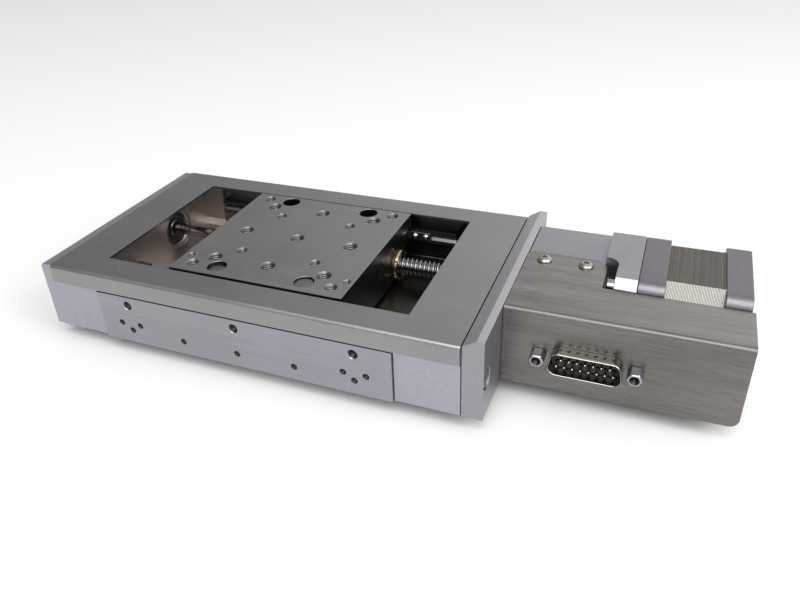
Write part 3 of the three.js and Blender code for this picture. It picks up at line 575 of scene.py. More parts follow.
def build_right_block():
    ob = prism("end_block_right_machined", block_pts(), "X", 65.15, 89.9, 0.3, 2)
    r = 2.5
    pocket = prism_bm([(-43 + r, FLOOR_Z), (43 - r, FLOOR_Z), (43, FLOOR_Z + r), (43, 40), (-43, 40), (-43, FLOOR_Z + r)], "X", 60, 76, 0)
    boolean(ob, [[pocket]])
    boolean(ob, [[lathe_bm([(74, 0), (74, 6.6), (75.6, 6.6), (76.4, 6.2), (77.8, 6.2), (77.8, 9.57), (91, 9.57), (91, 0)], "X", AY, AZ, 64)]])
    boolean(ob, [[lathe_bm([(91, 0), (91, 2.1), (82.9, 2.1), (81.9, 0)], "X", y, AZ, 24) for y in (-46.6, 46.6)]])
    finish_mesh(ob, [M["block"], M["trough_steel_shaded"]])
    # index 1: the right pocket takes the trough's shaded steel, painted shade on the block's aluminium
    face_materials(ob, lambda c, n: 1 if (c.x < 89.5 and abs(c.y) < 43.1 and FLOOR_Z - 0.3 < c.z < UNDER_Z - 0.3 and c.x > 65.4) else 0)
    install(ob, "frame", "block_aluminium", "end_block_right")


def cap_screw(name, axis, c1, c2, top, inward, rh, hh, rs, length, hexr, mat, body, slot, node_name, knurl=True):
    """Socket head cap screw: domed edge, knurled side, hex socket, threaded shank."""
    s = inward
    n = 48
    prof = [(top, 0), (top, rh - 0.45), (top + s * 0.12, rh - 0.16), (top + s * 0.42, rh), (top + s * (hh - 0.2), rh), (top + s * hh, rh - 0.2), (top + s * hh, rs)]
    t = hh
    while t + 0.7 < length:
        prof += [(top + s * (t + 0.35), rs - 0.12), (top + s * (t + 0.7), rs)]
        t += 0.7
    prof += [(top + s * length, rs - 0.3), (top + s * length, 0)]
    ob = lathe(name, prof, axis, c1, c2, n)
    if knurl:                       # shallow flutes round the head
        for v in ob.data.vertices:
            co = v.co / MM
            t = {"X": co.x, "Y": co.y, "Z": co.z}[axis]
            a, b = {"X": (co.y, co.z), "Y": (co.x, co.z), "Z": (co.x, co.y)}[axis]
            d = s * (t - top)
            rr = math.hypot(a - c1, b - c2)
            if 0.3 < d < hh - 0.1 and rr > rh - 0.1:
                k = round(math.atan2(b - c2, a - c1) / (2 * math.pi / n)) % 2
                f = (rh - (0.07 if k else 0.0)) / rr
                na, nb = c1 + (a - c1) * f, c2 + (b - c2) * f
                v.co = {"X": Vector((t, na, nb)), "Y": Vector((na, t, nb)), "Z": Vector((na, nb, t))}[axis] * MM
    boolean(ob, [[socket(axis, c1, c2, top, s, hexr, min(hh * 0.55, 2.1))]])
    finish_mesh(ob, mat, 38)
    install(ob, body, slot, node_name)
    return ob


build_left_block()
build_right_block()

plate = prism("end_plate_left_machined", [(-93.0, 6.3), (-87.35, 6.3), (-87.35, 35.9), (-91.9, 35.9), (-93.0, 34.9)], "Y", -50.6, 50.6, 0.28, 2, 40)
boolean(plate, [[bored("X", y, z, -93.0, 1, 3.8, 4.3, 0.25) for y in (-42, 42) for z in (12.5, 29.5)]])
boolean(plate, [[lathe_bm([(-95, 0), (-95, 2.3), (-86, 2.3), (-86, 0)], "X", y, z, 28) for y in (-42, 42) for z in (12.5, 29.5)]])
finish_mesh(plate, M["block"])
install(plate, "frame", "block_aluminium", "end_plate_left")
for i, (y, z) in enumerate([(-42, 12.5), (-42, 29.5), (42, 12.5), (42, 29.5)]):
    cap_screw("end_plate_cap_screw_%d" % (i + 1), "X", y, z, -92.7, 1, 3.5, 3.9, 1.95, 11.5, 1.72, M["zinc"], "frame", "hardware_zinc", "end_plate_screw_%d" % (i + 1))


# ================================================================== folded cover
def arc(c1, c2, r, a0, a1, n):
    return [(c1 + r * math.cos(math.radians(a0 + (a1 - a0) * i / n)), c2 + r * math.sin(math.radians(a0 + (a1 - a0) * i / n))) for i in range(n + 1)]


def build_cover():
    ro, ri = 1.8, 0.6
    outer = [(COVER_HY, SKIRT_Z)] + arc(COVER_HY - ro, COVER_TOP - ro, ro, 0, 90, 10)
    inner = arc(COVER_HY - ro, COVER_TOP - ro, ri, 90, 0, 6) + [(COVER_HY - COVER_T, SKIRT_Z)]
    pts = outer + [(-y, z) for y, z in reversed(outer)] + [(-y, z) for y, z in reversed(inner)] + inner
    ob = prism("folded_cover", pts, "X", COVER_X0, COVER_X1, 0.12, 2, 40)
    r = 0.5
    w = []
    for sx, sy, a0 in [(1, 1, 0), (-1, 1, 90), (-1, -1, 180), (1, -1, 270)]:
        w += arc(sx * (WIN_HX - r), sy * (WIN_HY - r), r, a0, a0 + 90, 4)
    boolean(ob, [[prism_bm(w, "Z", 30, 40, 0)]])
    # broken edge round the window, top and bottom
    ob.data.update()
    bm = bmesh.new()
    bm.from_mesh(ob.data)
    es = [e for e in bm.edges if len(e.link_faces) == 2 and e.calc_face_angle(0) > math.radians(60)
          and all(abs(v.co.x) < (WIN_HX + 0.1) * MM and abs(v.co.y) < (WIN_HY + 0.1) * MM for v in e.verts)
          and abs(e.verts[0].co.z - e.verts[1].co.z) < 1e-6]
    bmesh.ops.bevel(bm, geom=es, offset=0.16 * MM, segments=2, profile=0.5, affect="EDGES")
    bm.to_mesh(ob.data)
    bm.free()
    finish_mesh(ob, M["cover"], 40)
    install(ob, "frame", "cover_stainless", "top_cover")


build_cover()


# ================================================================== flange plate
fl = prism("flange_plate_machined", [(90.1, 6.1), (98.0, 6.1), (98.0, 39.5), (95.05, 39.5), (90.1, 36.45)], "Y", -50.7, 52.0, 0.22, 2, 25)
boolean(fl, [[lathe_bm([(88, 0), (88, 7.7), (90.1, 7.7), (90.5, 7.2), (97.6, 7.2), (98.0, 7.6), (100, 7.6), (100, 0)], "X", AY, AZ, 64)]])
boolean(fl, [[bored("X", y, AZ, 98.0, -1, 3.9, 4.4, 0.25) for y in (-46.6, 46.6)]])
boolean(fl, [[lathe_bm([(88, 0), (88, 2.3), (95, 2.3), (95, 0)], "X", y, AZ, 28) for y in (-46.6, 46.6)]])
finish_mesh(fl, [M["bracket"], M["flange_top"]])
# index 1: the upward faces on top, in the painted-light copy
face_materials(fl, lambda c, n: 1 if n.z > 0.45 and c.z > 36 else 0)
install(fl, "frame", "block_aluminium", "flange_plate")
for nm, y in (("front", -46.6), ("rear", 46.6)):
    cap_screw("flange_cap_screw_" + nm, "X", y, AZ, 97.5, -1, 3.5, 3.9, 1.95, 14.8, 1.72, M["zinc"], "frame", "hardware_zinc", "flange_screw_" + nm)


# ================================================================== rails and cages
def rail(name, s, face, back, x0, x1, body, node_name):
    d = 1 if back > face else -1
    f = lambda y: s * y
    pts = [(f(face), 23.8), (f(back), 23.8), (f(back), 30.0), (f(face), 30.0), (f(face), V_Z + V_H), (f(face + d * 1.30), V_Z + 0.32),
           (f(face + d * 1.75), V_Z + 0.32), (f(face + d * 1.75), V_Z - 0.32), (f(face + d * 1.30), V_Z - 0.32), (f(face), V_Z - V_H)]
    ob = prism(name, pts, "X", x0, x1, 0.18, 2, 35)
    finish_mesh(ob, M["rail"])
    install(ob, body, "rail_steel", node_name)


def cage(name, s, body, node_name):
    yc = s * (OUT_FACE + IN_FACE) / 2
    ob = prism(name, box_pts(-47.6, 49.4, V_Z - 1.9, V_Z + 1.9), "X", 0, 1, 0)      # replaced just below
    bpy.data.objects.remove(ob)
    r = 0.9
    o = []
    for sx, sz, a0 in [(1, 1, 0), (-1, 1, 90), (-1, -1, 180), (1, -1, 270)]:
        o += arc(0.9 + sx * (48.5 - r), V_Z + sz * (1.9 - r), r, a0, a0 + 90, 5)
    strip = prism(name, o, "Y", yc - 0.3, yc + 0.3, 0.07, 1, 50)
    boolean(strip, [[lathe_bm([(yc - 1, 0), (yc - 1, 1.44), (yc + 1, 1.44), (yc + 1, 0)], "Y", 47.1 - i * 5.1, V_Z, 28) for i in range(19)]])
    bm = bmesh.new()
    bm.from_mesh(strip.data)
    n0 = len(bm.faces)
    for i in range(19):
        bmesh.ops.create_uvsphere(bm, u_segments=28, v_segments=18, radius=1.5 * MM,
                                  matrix=Matrix.Translation(Vector((47.1 - i * 5.1, yc, V_Z)) * MM))
    bm.faces.ensure_lookup_table()
    for fc in bm.faces[n0:]:
        fc.material_index = 1
    bm.to_mesh(strip.data)
    bm.free()
    finish_mesh(strip, [M["cage"], M["ball"]], 35)
    install(strip, body, "cage_steel", node_name)


for nm, s in (("front", -1), ("rear", 1)):
    rail("outer_rail_%s_ground" % nm, s, OUT_FACE, WALL_IN - 0.1, -61, 61, "frame", "outer_rail_" + nm)
    rail("inner_rail_%s_ground" % nm, s, IN_FACE, CAR_BODY_HY + 0.1, CAR_X - 38, CAR_X + 38, "carriage", "inner_rail_" + nm)
    cage("ball_cage_%s_caged" % nm, s, "cage_" + nm, "ball_cage_" + nm)


# ================================================================== moving table
def build_table():
    ch = 0.35
    ob = prism("moving_table_ground", box_pts(CAR_X - CAR_HX, CAR_X + CAR_HX, -CAR_HY, CAR_HY), "Z", CAR_PLATE_Z, CAR_TOP, ch, 2)
    boolean(ob, [[prism_bm(box_pts(CAR_X - CAR_HX + 0.02, CAR_X + CAR_HX - 0.02, -CAR_BODY_HY, CAR_BODY_HY), "Z", CAR_Z0, CAR_PLATE_Z + 2, 0.3, 2)]], "UNION")
    boolean(ob, [[lathe_bm([(-60, 0), (-60, 7.1), (CAR_X - CAR_HX, 7.1), (CAR_X - CAR_HX + 0.5, 6.6), (CAR_X + CAR_HX - 0.5, 6.6), (CAR_X + CAR_HX, 7.1), (60, 7.1), (60, 0)], "X", AY, AZ, 64)]])
    a = [tapped("Z", CAR_X + 25 * i, PAT_Y + 25 * j, CAR_TOP, -1, 2.8, 10, 0.9, 40, 0.4) for i in (-1, 0, 1) for j in (-1, 0, 1)]
    b, c, d, e = [], [], [], []
    for i in (-1, 1):
        for j in (-1, 1):
            a.append(tapped("Z", CAR_X + 17 * i, PAT_Y + 17 * j, CAR_TOP, -1, 2.05, 7, 0.6, 32, 0.35))
            b.append(bored("Z", CAR_X + 19.8 * i, PAT_Y + 31.6 * j, CAR_TOP, -1, 4.0, 4.6 if j < 0 else 6.4, 0.22, 48))
            c.append(tapped("Z", CAR_X + 31.4 * i, PAT_Y + 31.9 * j, CAR_TOP, -1, 2.35, 7, 0.75, 32, 0.3))
        c.append(tapped("Z", CAR_X + 35.6 * i, PAT_Y - 26.5, CAR_TOP, -1, 1.5, 7, 0.5, 28, 0.25))
        d.append(lathe_bm([(CAR_PLATE_Z - 2, 0), (CAR_PLATE_Z - 2, 2.2), (CAR_TOP - 2, 2.2), (CAR_TOP - 2, 0)], "Z", CAR_X + 19.8 * i, PAT_Y - 31.6, 28))
    boolean(ob, [a, b, c, d])
    finish_mesh(ob, [M["table"], M["hole"], M["hole_mouth"], M["dark_steel"], M["table_side"], M["hole_table"]], 30)

    # indices 3 and 4 are painted shade: dark steel in the screw bore, and the darker side steel on the sides and under
    # the plate
    def pick(c, n):
        if c.z > CAR_TOP - 0.5 and (abs(c.x - CAR_X) > CAR_HX - 0.4 or abs(c.y) > CAR_HY - 0.4) or c.z > CAR_TOP - 0.05:
            return 0
        if c.z < CAR_PLATE_Z + 0.2:
            return 3 if abs(c.x - CAR_X) < CAR_HX - 0.6 and math.hypot(c.y - AY, c.z - AZ) < 6.9 else 4
        if abs(c.x - CAR_X) > CAR_HX - 0.4 or abs(c.y) > CAR_HY - 0.4:
            return 4
        # counterbores and tapped holes: painted shade, darker with depth (indices 2, 1 and 5)
        if any(math.hypot(c.x - CAR_X - 19.8 * i, c.y - PAT_Y - 31.6 * j) < 4.4 for i in (-1, 1) for j in (-1, 1)):
            return 2 if c.z > CAR_TOP - 0.24 else 1
        return 2 if c.z > CAR_TOP - 0.6 else 5

    face_materials(ob, pick)
    install(ob, "carriage", "table_stainless", "carriage_table")


build_table()


def table_screw(nm, x, top):
    """Low flat head that nearly fills its counterbore, faced in a lathe, with a shallow tool socket."""
    y = PAT_Y - 31.6
    prof = [(top - 0.05, 0), (top - 0.05, 0.5)]
    for k in range(8):
        r = 0.7 + 0.38 * k
        prof += [(top - 0.005, r), (top - 0.03, r + 0.19)]
    prof += [(top - 0.02, 3.66), (top - 0.2, 3.86), (top - 2.6, 3.86), (top - 2.75, 3.7), (top - 2.75, 2.0)]
    t = 2.75
    while t + 0.7 < 5.0:
        prof += [(top - t - 0.35, 1.88), (top - t - 0.7, 2.0)]
        t += 0.7
    prof += [(top - 5.2, 1.7), (top - 5.2, 0)]
    ob = lathe("table_screw_%s_flat" % nm, prof, "Z", x, y, 56)
    finish_mesh(ob, M["dark_screw"], 30)
    install(ob, "carriage", "hardware_zinc", "table_screw_" + nm)


table_screw("left", CAR_X - 19.8, CAR_TOP - 1.45)
table_screw("right", CAR_X + 19.8, CAR_TOP - 0.75)

nut = lathe("ball_nut_body", [(14, 4.3), (14, 6.1), (14.4, 6.45), (20, 6.45), (20.15, 6.3), (20.6, 6.3), (20.75, 6.45), (39.2, 6.45), (39.6, 6.1), (39.6, 4.3), (39.3, 4.12), (14.3, 4.12)],
            "X", AY, AZ, 64, closed=True)
finish_mesh(nut, M["dark_steel"])
install(nut, "carriage", "screw_steel", "drive_nut")


def build_collar():
    ob = lathe("nut_collar_turned", [(39.85, 4.75), (39.85, 6.4), (40.1, 6.7), (41.1, 6.7), (41.2, 6.55), (41.35, 6.55), (41.45, 6.7), (41.75, 6.65),
                                     (42.1, 6.45), (42.35, 6.05), (42.4, 5.75), (42.2, 5.6), (42.15, 5.2), (42.4, 5.0), (42.38, 4.7), (42.1, 4.5), (40.1, 4.5)], "X", AY, AZ, 72, closed=True)
    # six spanner notches in the rim
    cuts = []
    for k in range(6):
        a = math.radians(20 + 60 * k)
        cuts.append(lathe_bm([(41.2, 0), (41.2, 0.55), (43, 0.55), (43, 0)], "X", AY + 6.75 * math.cos(a), AZ + 6.75 * math.sin(a), 16))
    boolean(ob, [cuts])
    finish_mesh(ob, [M["dark_steel"], M["brass"]], 35)
    face_materials(ob, lambda c, n: 1 if (c.x > 41.25 and math.hypot(c.y - AY, c.z - AZ) > 5.55) else 0)
    install(ob, "carriage", "collar_brass", "nut_collar")


build_collar()


# ================================================================== lead screw, with its helical groove
def build_screw():
    pitch, x0, x1 = 2.0, -22.0, 70.0
    n, per = 36, 12
    rows = int((x1 - x0) / pitch * per)
    bm = bmesh.new()

    def rad(x, phi):
        # right-hand groove: x advances by one pitch per turn of phi about +X
        u = ((x - pitch * phi / (2 * math.pi)) / pitch) % 1.0
        w = abs(u - 0.5) * 2                      # 0 mid land, 1 mid groove
        land = 0.40
        g = 0.0 if w < land else math.sqrt(max(0.0, 1 - (1 - (w - land) / (1 - land)) ** 2))
        fade = min(1.0, (x - x0) / 1.6, (x1 - x) / 1.6)
        return 3.92 - 0.78 * g * max(0.0, fade)

    prof_l = [(-83.5, 0.0), (-83.5, 1.7), (-83.1, 2.3), (-82.9, 2.48), (-56.0, 2.48), (-52.3, 2.48), (-51.9, 2.9), (-24.2, 2.9), (-23.2, 3.5), (-22.2, 3.92)]
    prof_r = [(70.2, 3.92), (70.8, 3.4), (74.9, 3.4), (75.0, 4.2), (75.2, 4.4), (77.7, 4.4), (77.9, 4.2), (77.9, 2.98), (95.5, 2.98), (95.7, 2.9), (96.2, 2.9), (96.4, 2.98), (109.6, 2.98), (110.2, 2.4), (110.2, 0.0)]
    f = axis_map("X")
    rings = []
    for t, r in prof_l:
        rings.append([bm.verts.new(f(AY, AZ, t))] if r == 0 else [bm.verts.new(f(AY + r * math.cos(2 * math.pi * j / n), AZ + r * math.sin(2 * math.pi * j / n), t)) for j in range(n)])
    for i in range(rows + 1):
        x = x0 + (x1 - x0) * i / rows
        ring = []
        for j in range(n):
            phi = 2 * math.pi * j / n
            r = rad(x, phi)
            ring.append(bm.verts.new(f(AY + r * math.cos(phi), AZ + r * math.sin(phi), x)))
        rings.append(ring)
    for t, r in prof_r:
        rings.append([bm.verts.new(f(AY, AZ, t))] if r == 0 else [bm.verts.new(f(AY + r * math.cos(2 * math.pi * j / n), AZ + r * math.sin(2 * math.pi * j / n), t)) for j in range(n)])
    for A, B in zip(rings[:-1], rings[1:]):
        for j in range(n):
            j2 = (j + 1) % n
            if len(A) == 1:
                bm.faces.new([A[0], B[j], B[j2]])
            elif len(B) == 1:
                bm.faces.new([A[j], B[0], A[j2]])
            else:
                bm.faces.new([A[j], B[j], B[j2], A[j2]])
    ob = to_object(bm, "ball_screw_rolled")
    finish_mesh(ob, [M["screw"], M["groove"]], 50, weighted=False)
    # index 1: faces in the groove, with the painted shade
    face_materials(ob, lambda c, n: 1 if (x0 < c.x < x1 and math.hypot(c.y - AY, c.z - AZ) < 3.62) else 0)
    install(ob, "screw", "screw_steel", "lead_screw")


build_screw()


# ================================================================== bearings, lock nut, coupling
def ring_piece(name, prof, body, slot, node_name, mat, n=64):
    ob = lathe(name, prof, "X", AY, AZ, n, closed=True)
    finish_mesh(ob, mat, 35)
    install(ob, body, slot, node_name)


ring_piece("bearing_left_outer_race", [(-81.6, 6.9), (-81.6, 7.7), (-81.3, 8.0), (-76.9, 8.0), (-76.6, 7.7), (-76.6, 6.9), (-76.85, 6.8), (-77.1, 6.6), (-77.15, 5.0), (-77.3, 4.7),
                                       (-80.9, 4.7), (-81.05, 5.0), (-81.1, 6.6), (-81.35, 6.8)], "frame", "rail_steel", "bearing_left_outer", M["rail"])
ring_piece("bearing_left_inner_race", [(-81.6, 2.8), (-81.6, 4.25), (-81.4, 4.5), (-76.8, 4.5), (-76.6, 4.25), (-76.6, 2.8), (-76.85, 2.52), (-81.35, 2.52)], "screw", "rail_steel", "bearing_left_inner", M["rail"])
ring_piece("bearing_right_outer_race", [(78.0, 8.2), (78.0, 9.2), (78.3, 9.5), (89.5, 9.5), (89.8, 9.2), (89.8, 8.2), (89.5, 8.1), (89.3, 7.9), (89.25, 5.8), (89.1, 5.4),
                                        (78.7, 5.4), (78.55, 5.8), (78.5, 7.9), (78.3, 8.1)], "frame", "rail_steel", "bearing_right_outer", M["rail"])
ring_piece("bearing_right_inner_race", [(78.0, 3.3), (78.0, 4.85), (78.25, 5.1), (89.55, 5.1), (89.8, 4.85), (89.8, 3.3), (89.5, 3.02), (78.3, 3.02)], "screw", "rail_steel", "bearing_right_inner", M["rail"])


def build_lock_nut():
    ob = lathe("lock_nut_slotted", [(90.0, 3.3), (90.0, 5.8), (90.35, 6.2), (94.85, 6.2), (95.2, 5.8), (95.2, 3.3), (94.9, 3.02), (90.3, 3.02)], "X", AY, AZ, 64, closed=True)
    cuts = [prism_bm(box_pts(AY - 1.3 + dy, AY + 1.3 + dy, z0, z0 + 3), "X", 92.6, 96, 0) for dy, z0 in ((0, AZ + 4.6), (0, AZ - 7.6))]
    cuts += [prism_bm(box_pts(y0, y0 + 3, AZ - 1.3, AZ + 1.3), "X", 92.6, 96, 0) for y0 in (AY + 4.6, AY - 7.6)]
    boolean(ob, [cuts])
    finish_mesh(ob, M["dark_steel"], 35)
    install(ob, "screw", "screw_steel", "screw_lock_nut")


build_lock_nut()


def jaw_hub(name, x0, x1, ri, jx0, jx1, jaw_angles, screw_x, body, node_name):
    lo, hi = min(x0, x1), max(x0, x1)
    ob = lathe(name, [(lo, ri + 0.3), (lo, 8.6), (lo + 0.4, 9.0), (hi - 0.4, 9.0), (hi, 8.6), (hi, ri + 0.3), (hi - 0.3, ri), (lo + 0.3, ri)], "X", AY, AZ, 64, closed=True)
    js = []
    for a in jaw_angles:
        j = prism_bm([(4.0, -1.6), (8.3, -1.8), (8.75, 0), (8.3, 1.8), (4.0, 1.6)], "X", jx0, jx1, 0.25, 2)
        j.transform(Matrix.Translation((0, AY, AZ)) @ Matrix.Rotation(a, 4, "X"))
        js.append(j)
    boolean(ob, [js], "UNION")
    boolean(ob, [[lathe_bm([(AZ + 3.4, 0), (AZ + 3.4, 1.25), (AZ + 8.4, 1.25), (AZ + 9.8, 2.4), (AZ + 9.8, 0)], "Z", screw_x, AY, 24)]])
    boolean(ob, [[prism_bm(box_pts(lo + 2.2, hi - 6.9, AZ - 0.4, AZ + 0.4), "Y", AY + 3.5, AY + 10, 0)]])
    finish_mesh(ob, M["bracket"], 35)
    install(ob, body, "block_aluminium", node_name)


jaw_hub("coupling_hub_screw_turned", 100.4, 110.5, 3.02, 110.4, 113.3, (0, math.pi), 104.0, "screw", "coupling_hub_screw")
jaw_hub("coupling_hub_motor_turned", 113.6, 123.8, 2.52, 110.8, 113.7, (math.pi / 2, -math.pi / 2), 120.0, "screw", "coupling_hub_motor")

for nm, mat in (("coupling_spider", "red"), ("motor_rotor", "dark_steel"), ("sensor_flag", "zinc")):
    o = NODES[nm]
    o.data.materials.clear()
    o.data.materials.append(M[mat])
    bv = o.modifiers.new("edge", "BEVEL")
    bv.width = 0.15 * MM
    bv.segments = 2
    bv.limit_method = "ANGLE"
    bv.angle_limit = math.radians(40)

shaft = lathe("motor_shaft_ground", [(114.2, 0), (114.2, 2.1), (114.6, 2.48), (175.2, 2.48), (175.6, 2.1), (175.6, 0)], "X", AY, AZ, 40)
finish_mesh(shaft, M["screw"])
install(shaft, "screw", "screw_steel", "motor_shaft")


# ================================================================== motor bracket
def build_bracket():
    ob = prism("motor_bracket_milled", box_pts(-3.6, 39.8, 6.2, 38.45), "X", 98.1, 128.4, 0.22, 2)
    sq = [(AY - 21, AZ - 21), (AY + 21, AZ - 21), (AY + 21, AZ + 21 - 3.4), (AY + 21 - 3.4, AZ + 21), (AY - 21 + 3.4, AZ + 21), (AY - 21, AZ + 21 - 3.4)]
    boolean(ob, [[prism_bm(sq, "X", 127.8, 140.7, 0.22, 2)]], "UNION")
    boolean(ob, [[lathe_bm([(97, 0), (97, 13.7), (98.1, 13.7), (98.6, 13.2), (128.0, 13.2), (128.0, 11.3), (140.3, 11.3), (141.0, 12.0), (142, 12.0), (142, 0)], "X", AY, AZ, 72)]])
    hand = []
    for sx, sz, a0 in [(1, 1, 0), (-1, 1, 90), (-1, -1, 180), (1, -1, 270)]:
        hand += arc(112 + sx * (9 - 2.5), AZ + sz * (6 - 2.5), 2.5, a0, a0 + 90, 6)
    boolean(ob, [[prism_bm(hand, "Y", AY + 8, 45, 0)]])
    # milled pocket in front of the motor plate, with the cutter's radius
    pk = [(127.0, -5), (132.8, -5), (132.8, 6.0)] + arc(127.79, 8.4, 5.2, -10, 88, 12)[1:] + [(127.0, 13.6)]
    boolean(ob, [[prism_bm(pk, "Z", 34.0, 45, 0)]])
    boolean(ob, [[lathe_bm([(118, 0), (118, 3.25), (132.8, 3.25), (132.8, 0)], "X", y, AZ - 15.5, 28) for y in (AY - 15.5, AY + 15.5)]])
    boolean(ob, [[lathe_bm([(131, 0), (131, 1.75), (142, 1.75), (142, 0)], "X", y, z, 24) for y, z in ((AY - 15.5, AZ - 15.5), (AY + 15.5, AZ - 15.5), (AY - 15.5, AZ + 15.5))]])
    boolean(ob, [[lathe_bm([(36.2, 0), (36.2, 1.65), (45, 1.65), (45, 0)], "Z", x, 9.6, 24) for x in (105.3, 121.1)]])
    finish_mesh(ob, M["bracket"])
    install(ob, "frame", "block_aluminium", "motor_bracket")


build_bracket()


# ================================================================== stepper motor
def bell_outline(h=20.95, r=4.9, n=10):
    o = []
    for sx, sy, a0 in [(1, 1, 0), (-1, 1, 90), (-1, -1, 180), (1, -1, 270)]:
        o += arc(AY + sx * (h - r), AZ + sy * (h - r), r, a0, a0 + 90, n)
    return o


def octagon(h, c):
    return [(AY + h, AZ - h + c), (AY + h, AZ + h - c), (AY + h - c, AZ + h), (AY - h + c, AZ + h), (AY - h, AZ + h - c), (AY - h, AZ - h + c), (AY - h + c, AZ - h), (AY + h - c, AZ - h)]


MOTOR_SCREWS = [(AY - 15.5, AZ + 15.5), (AY - 15.5, AZ - 15.5), (AY + 15.5, AZ - 15.5)]


def build_motor():
    fb = prism("motor_bell_front_cast", bell_outline(), "X", 140.8, 150.1, 0.35, 3, 40)
    boolean(fb, [[prism_bm(octagon(20.55, 6.5), "X", 148.8, 152, 0)]])
    boolean(fb, [[lathe_bm([(138.8, 3.8), (138.8, 10.6), (139.15, 10.95), (142, 10.95), (142, 3.8)], "X", AY, AZ, 64, closed=True)]], "UNION")
    boolean(fb, [[lathe_bm([(137, 0), (137, 3.8), (138.8, 3.8), (139.2, 3.4), (153, 3.4), (153, 0)], "X", AY, AZ, 48)]])
    boolean(fb, [[lathe_bm([(139, 0), (139, 1.65), (145.8, 1.65), (145.8, 0)], "X", y, z, 24) for y, z in MOTOR_SCREWS]])
    finish_mesh(fb, M["cast"], 35)
    install(fb, "frame", "motor_casting", "motor_front_bell")

    # laminated stack: each 0.5 mm sheet stands a few hundredths proud of the joint beside it
    x0, x1, lam = 148.85, 172.15, 0.5
    bm = bmesh.new()
    f = axis_map("X")
    rows = []
    k = int(round((x1 - x0) / lam))
    step = (x1 - x0) / k
    for i in range(k):
        a = x0 + i * step
        j = 0.012 * math.sin(i * 2.7) + 0.01 * math.sin(i * 5.1)
        rows += [(a, -0.075), (a + 0.09, j - 0.01), (a + step - 0.09, j - 0.01)]
    rows.append((x1, -0.075))
    rings = []
    for x, d in rows:
        rings.append([bm.verts.new(f(y, z, x)) for y, z in octagon(20.47 + d, 6.5)])
    bore = [[bm.verts.new(f(AY + 14.6 * math.cos(2 * math.pi * j / 48), AZ + 14.6 * math.sin(2 * math.pi * j / 48), x)) for j in range(48)] for x in (x0, x1)]
    for A, B in zip(rings[:-1], rings[1:]):
        for j in range(8):
            fc = bm.faces.new([A[j], A[(j + 1) % 8], B[(j + 1) % 8], B[j]])
            if j % 2 == 1:
                fc.material_index = 1
    for j in range(48):
        bm.faces.new([bore[0][j], bore[1][j], bore[1][(j + 1) % 48], bore[0][(j + 1) % 48]])
    for ring, bo in ((rings[0], bore[0]), (rings[-1], bore[1])):
        es = [bm.edges.get((ring[j], ring[(j + 1) % 8])) for j in range(8)] + [bm.edges.get((bo[j], bo[(j + 1) % 48])) for j in range(48)]
        bmesh.ops.triangle_fill(bm, edges=es, use_beauty=True)
    st = to_object(bm, "motor_stack_laminated")
    finish_mesh(st, [M["stack"], M["stack_edge"]], 28, weighted=False)
    install(st, "frame", "stator_laminations", "motor_stator")

    rb = prism("motor_bell_rear_cast", bell_outline(), "X", 169.9, 178.7, 0.35, 3, 40)
    boolean(rb, [[prism_bm(octagon(20.55, 6.5), "X", 168, 172.2, 0)]])
    boolean(rb, [[lathe_bm([(168, 0), (168, 3.4), (176.7, 3.4), (176.7, 0)], "X", AY, AZ, 48)]])
    # end face: bearing boss ring, four corner fixing screws sunk in the casting
    boolean(rb, [[lathe_bm([(178.1, 8.6), (178.1, 11.2), (180, 11.4), (180, 8.4)], "X", AY, AZ, 64, closed=True)]])
    boolean(rb, [[lathe_bm([(180, 0), (180, 3.1), (178.5, 3.0), (176.6, 3.0), (176.6, 0)], "X", AY + sy * 15.5, AZ + sz * 15.5, 32) for sy in (-1, 1) for sz in (-1, 1)]])
    finish_mesh(rb, M["cast"], 35)
    install(rb, "frame", "motor_casting", "motor_rear_bell")
    for k, (sy, sz) in enumerate([(-1, -1), (-1, 1), (1, -1), (1, 1)]):
        y, z = AY + sy * 15.5, AZ + sz * 15.5
        sc = lathe("motor_through_bolt_%d" % (k + 1), [(176.65, 0), (176.65, 2.6), (177.9, 2.6), (178.2, 2.3), (178.35, 1.6), (178.35, 0)], "X", y, z, 36)
        cross = [[prism_bm(box_pts(y - 1.35, y + 1.35, z - 0.3, z + 0.3), "X", 177.6, 180, 0)], [prism_bm(box_pts(y - 0.3, y + 0.3, z - 1.35, z + 1.35), "X", 177.6, 180, 0)]]
        boolean(sc, cross)
        finish_mesh(sc, M["zinc"], 35)
        install(sc, "frame", "hardware_zinc")


build_motor()
for i, (y, z) in enumerate(MOTOR_SCREWS):
    cap_screw("motor_cap_screw_%d" % (i + 1), "X", y, z, 129.85, 1, 2.75, 2.9, 1.5, 15.2, 1.37, M["screw"], "frame", "screw_steel", "motor_screw_%d" % (i + 1))


# ================================================================== connector box
def d_outline(hw, hh, r, n=8):
    t = math.tan(math.radians(10)) * hh
    c = [(hw + t, -hh), (hw - t, hh), (-hw + t, hh), (-hw - t, -hh)]
    p = []
    for i, (x, z) in enumerate(c):
        px, pz = c[(i + 3) % 4]
        nx, nz = c[(i + 1) % 4]
        a = Vector((px - x, pz - z)).normalized()
        b = Vector((nx - x, nz - z)).normalized()
        half = math.acos(max(-1, min(1, a.dot(b)))) / 2
        d = r / math.tan(half)
        p0 = Vector((x, z)) + a * d
        p1 = Vector((x, z)) + b * d
        cc = Vector((x, z)) + (a + b).normalized() * (r / math.sin(half))
        a0 = math.atan2(p0.y - cc.y, p0.x - cc.x)
        a1 = math.atan2(p1.y - cc.y, p1.x - cc.x)
        while a1 < a0:
            a1 += 2 * math.pi
        if a1 - a0 > math.pi:
            a1 -= 2 * math.pi
        for s in range(n + 1):
            q = a0 + (a1 - a0) * s / n
            p.append((DS_X + cc.x + r * math.cos(q), DS_Z + cc.y + r * math.sin(q)))
    return p


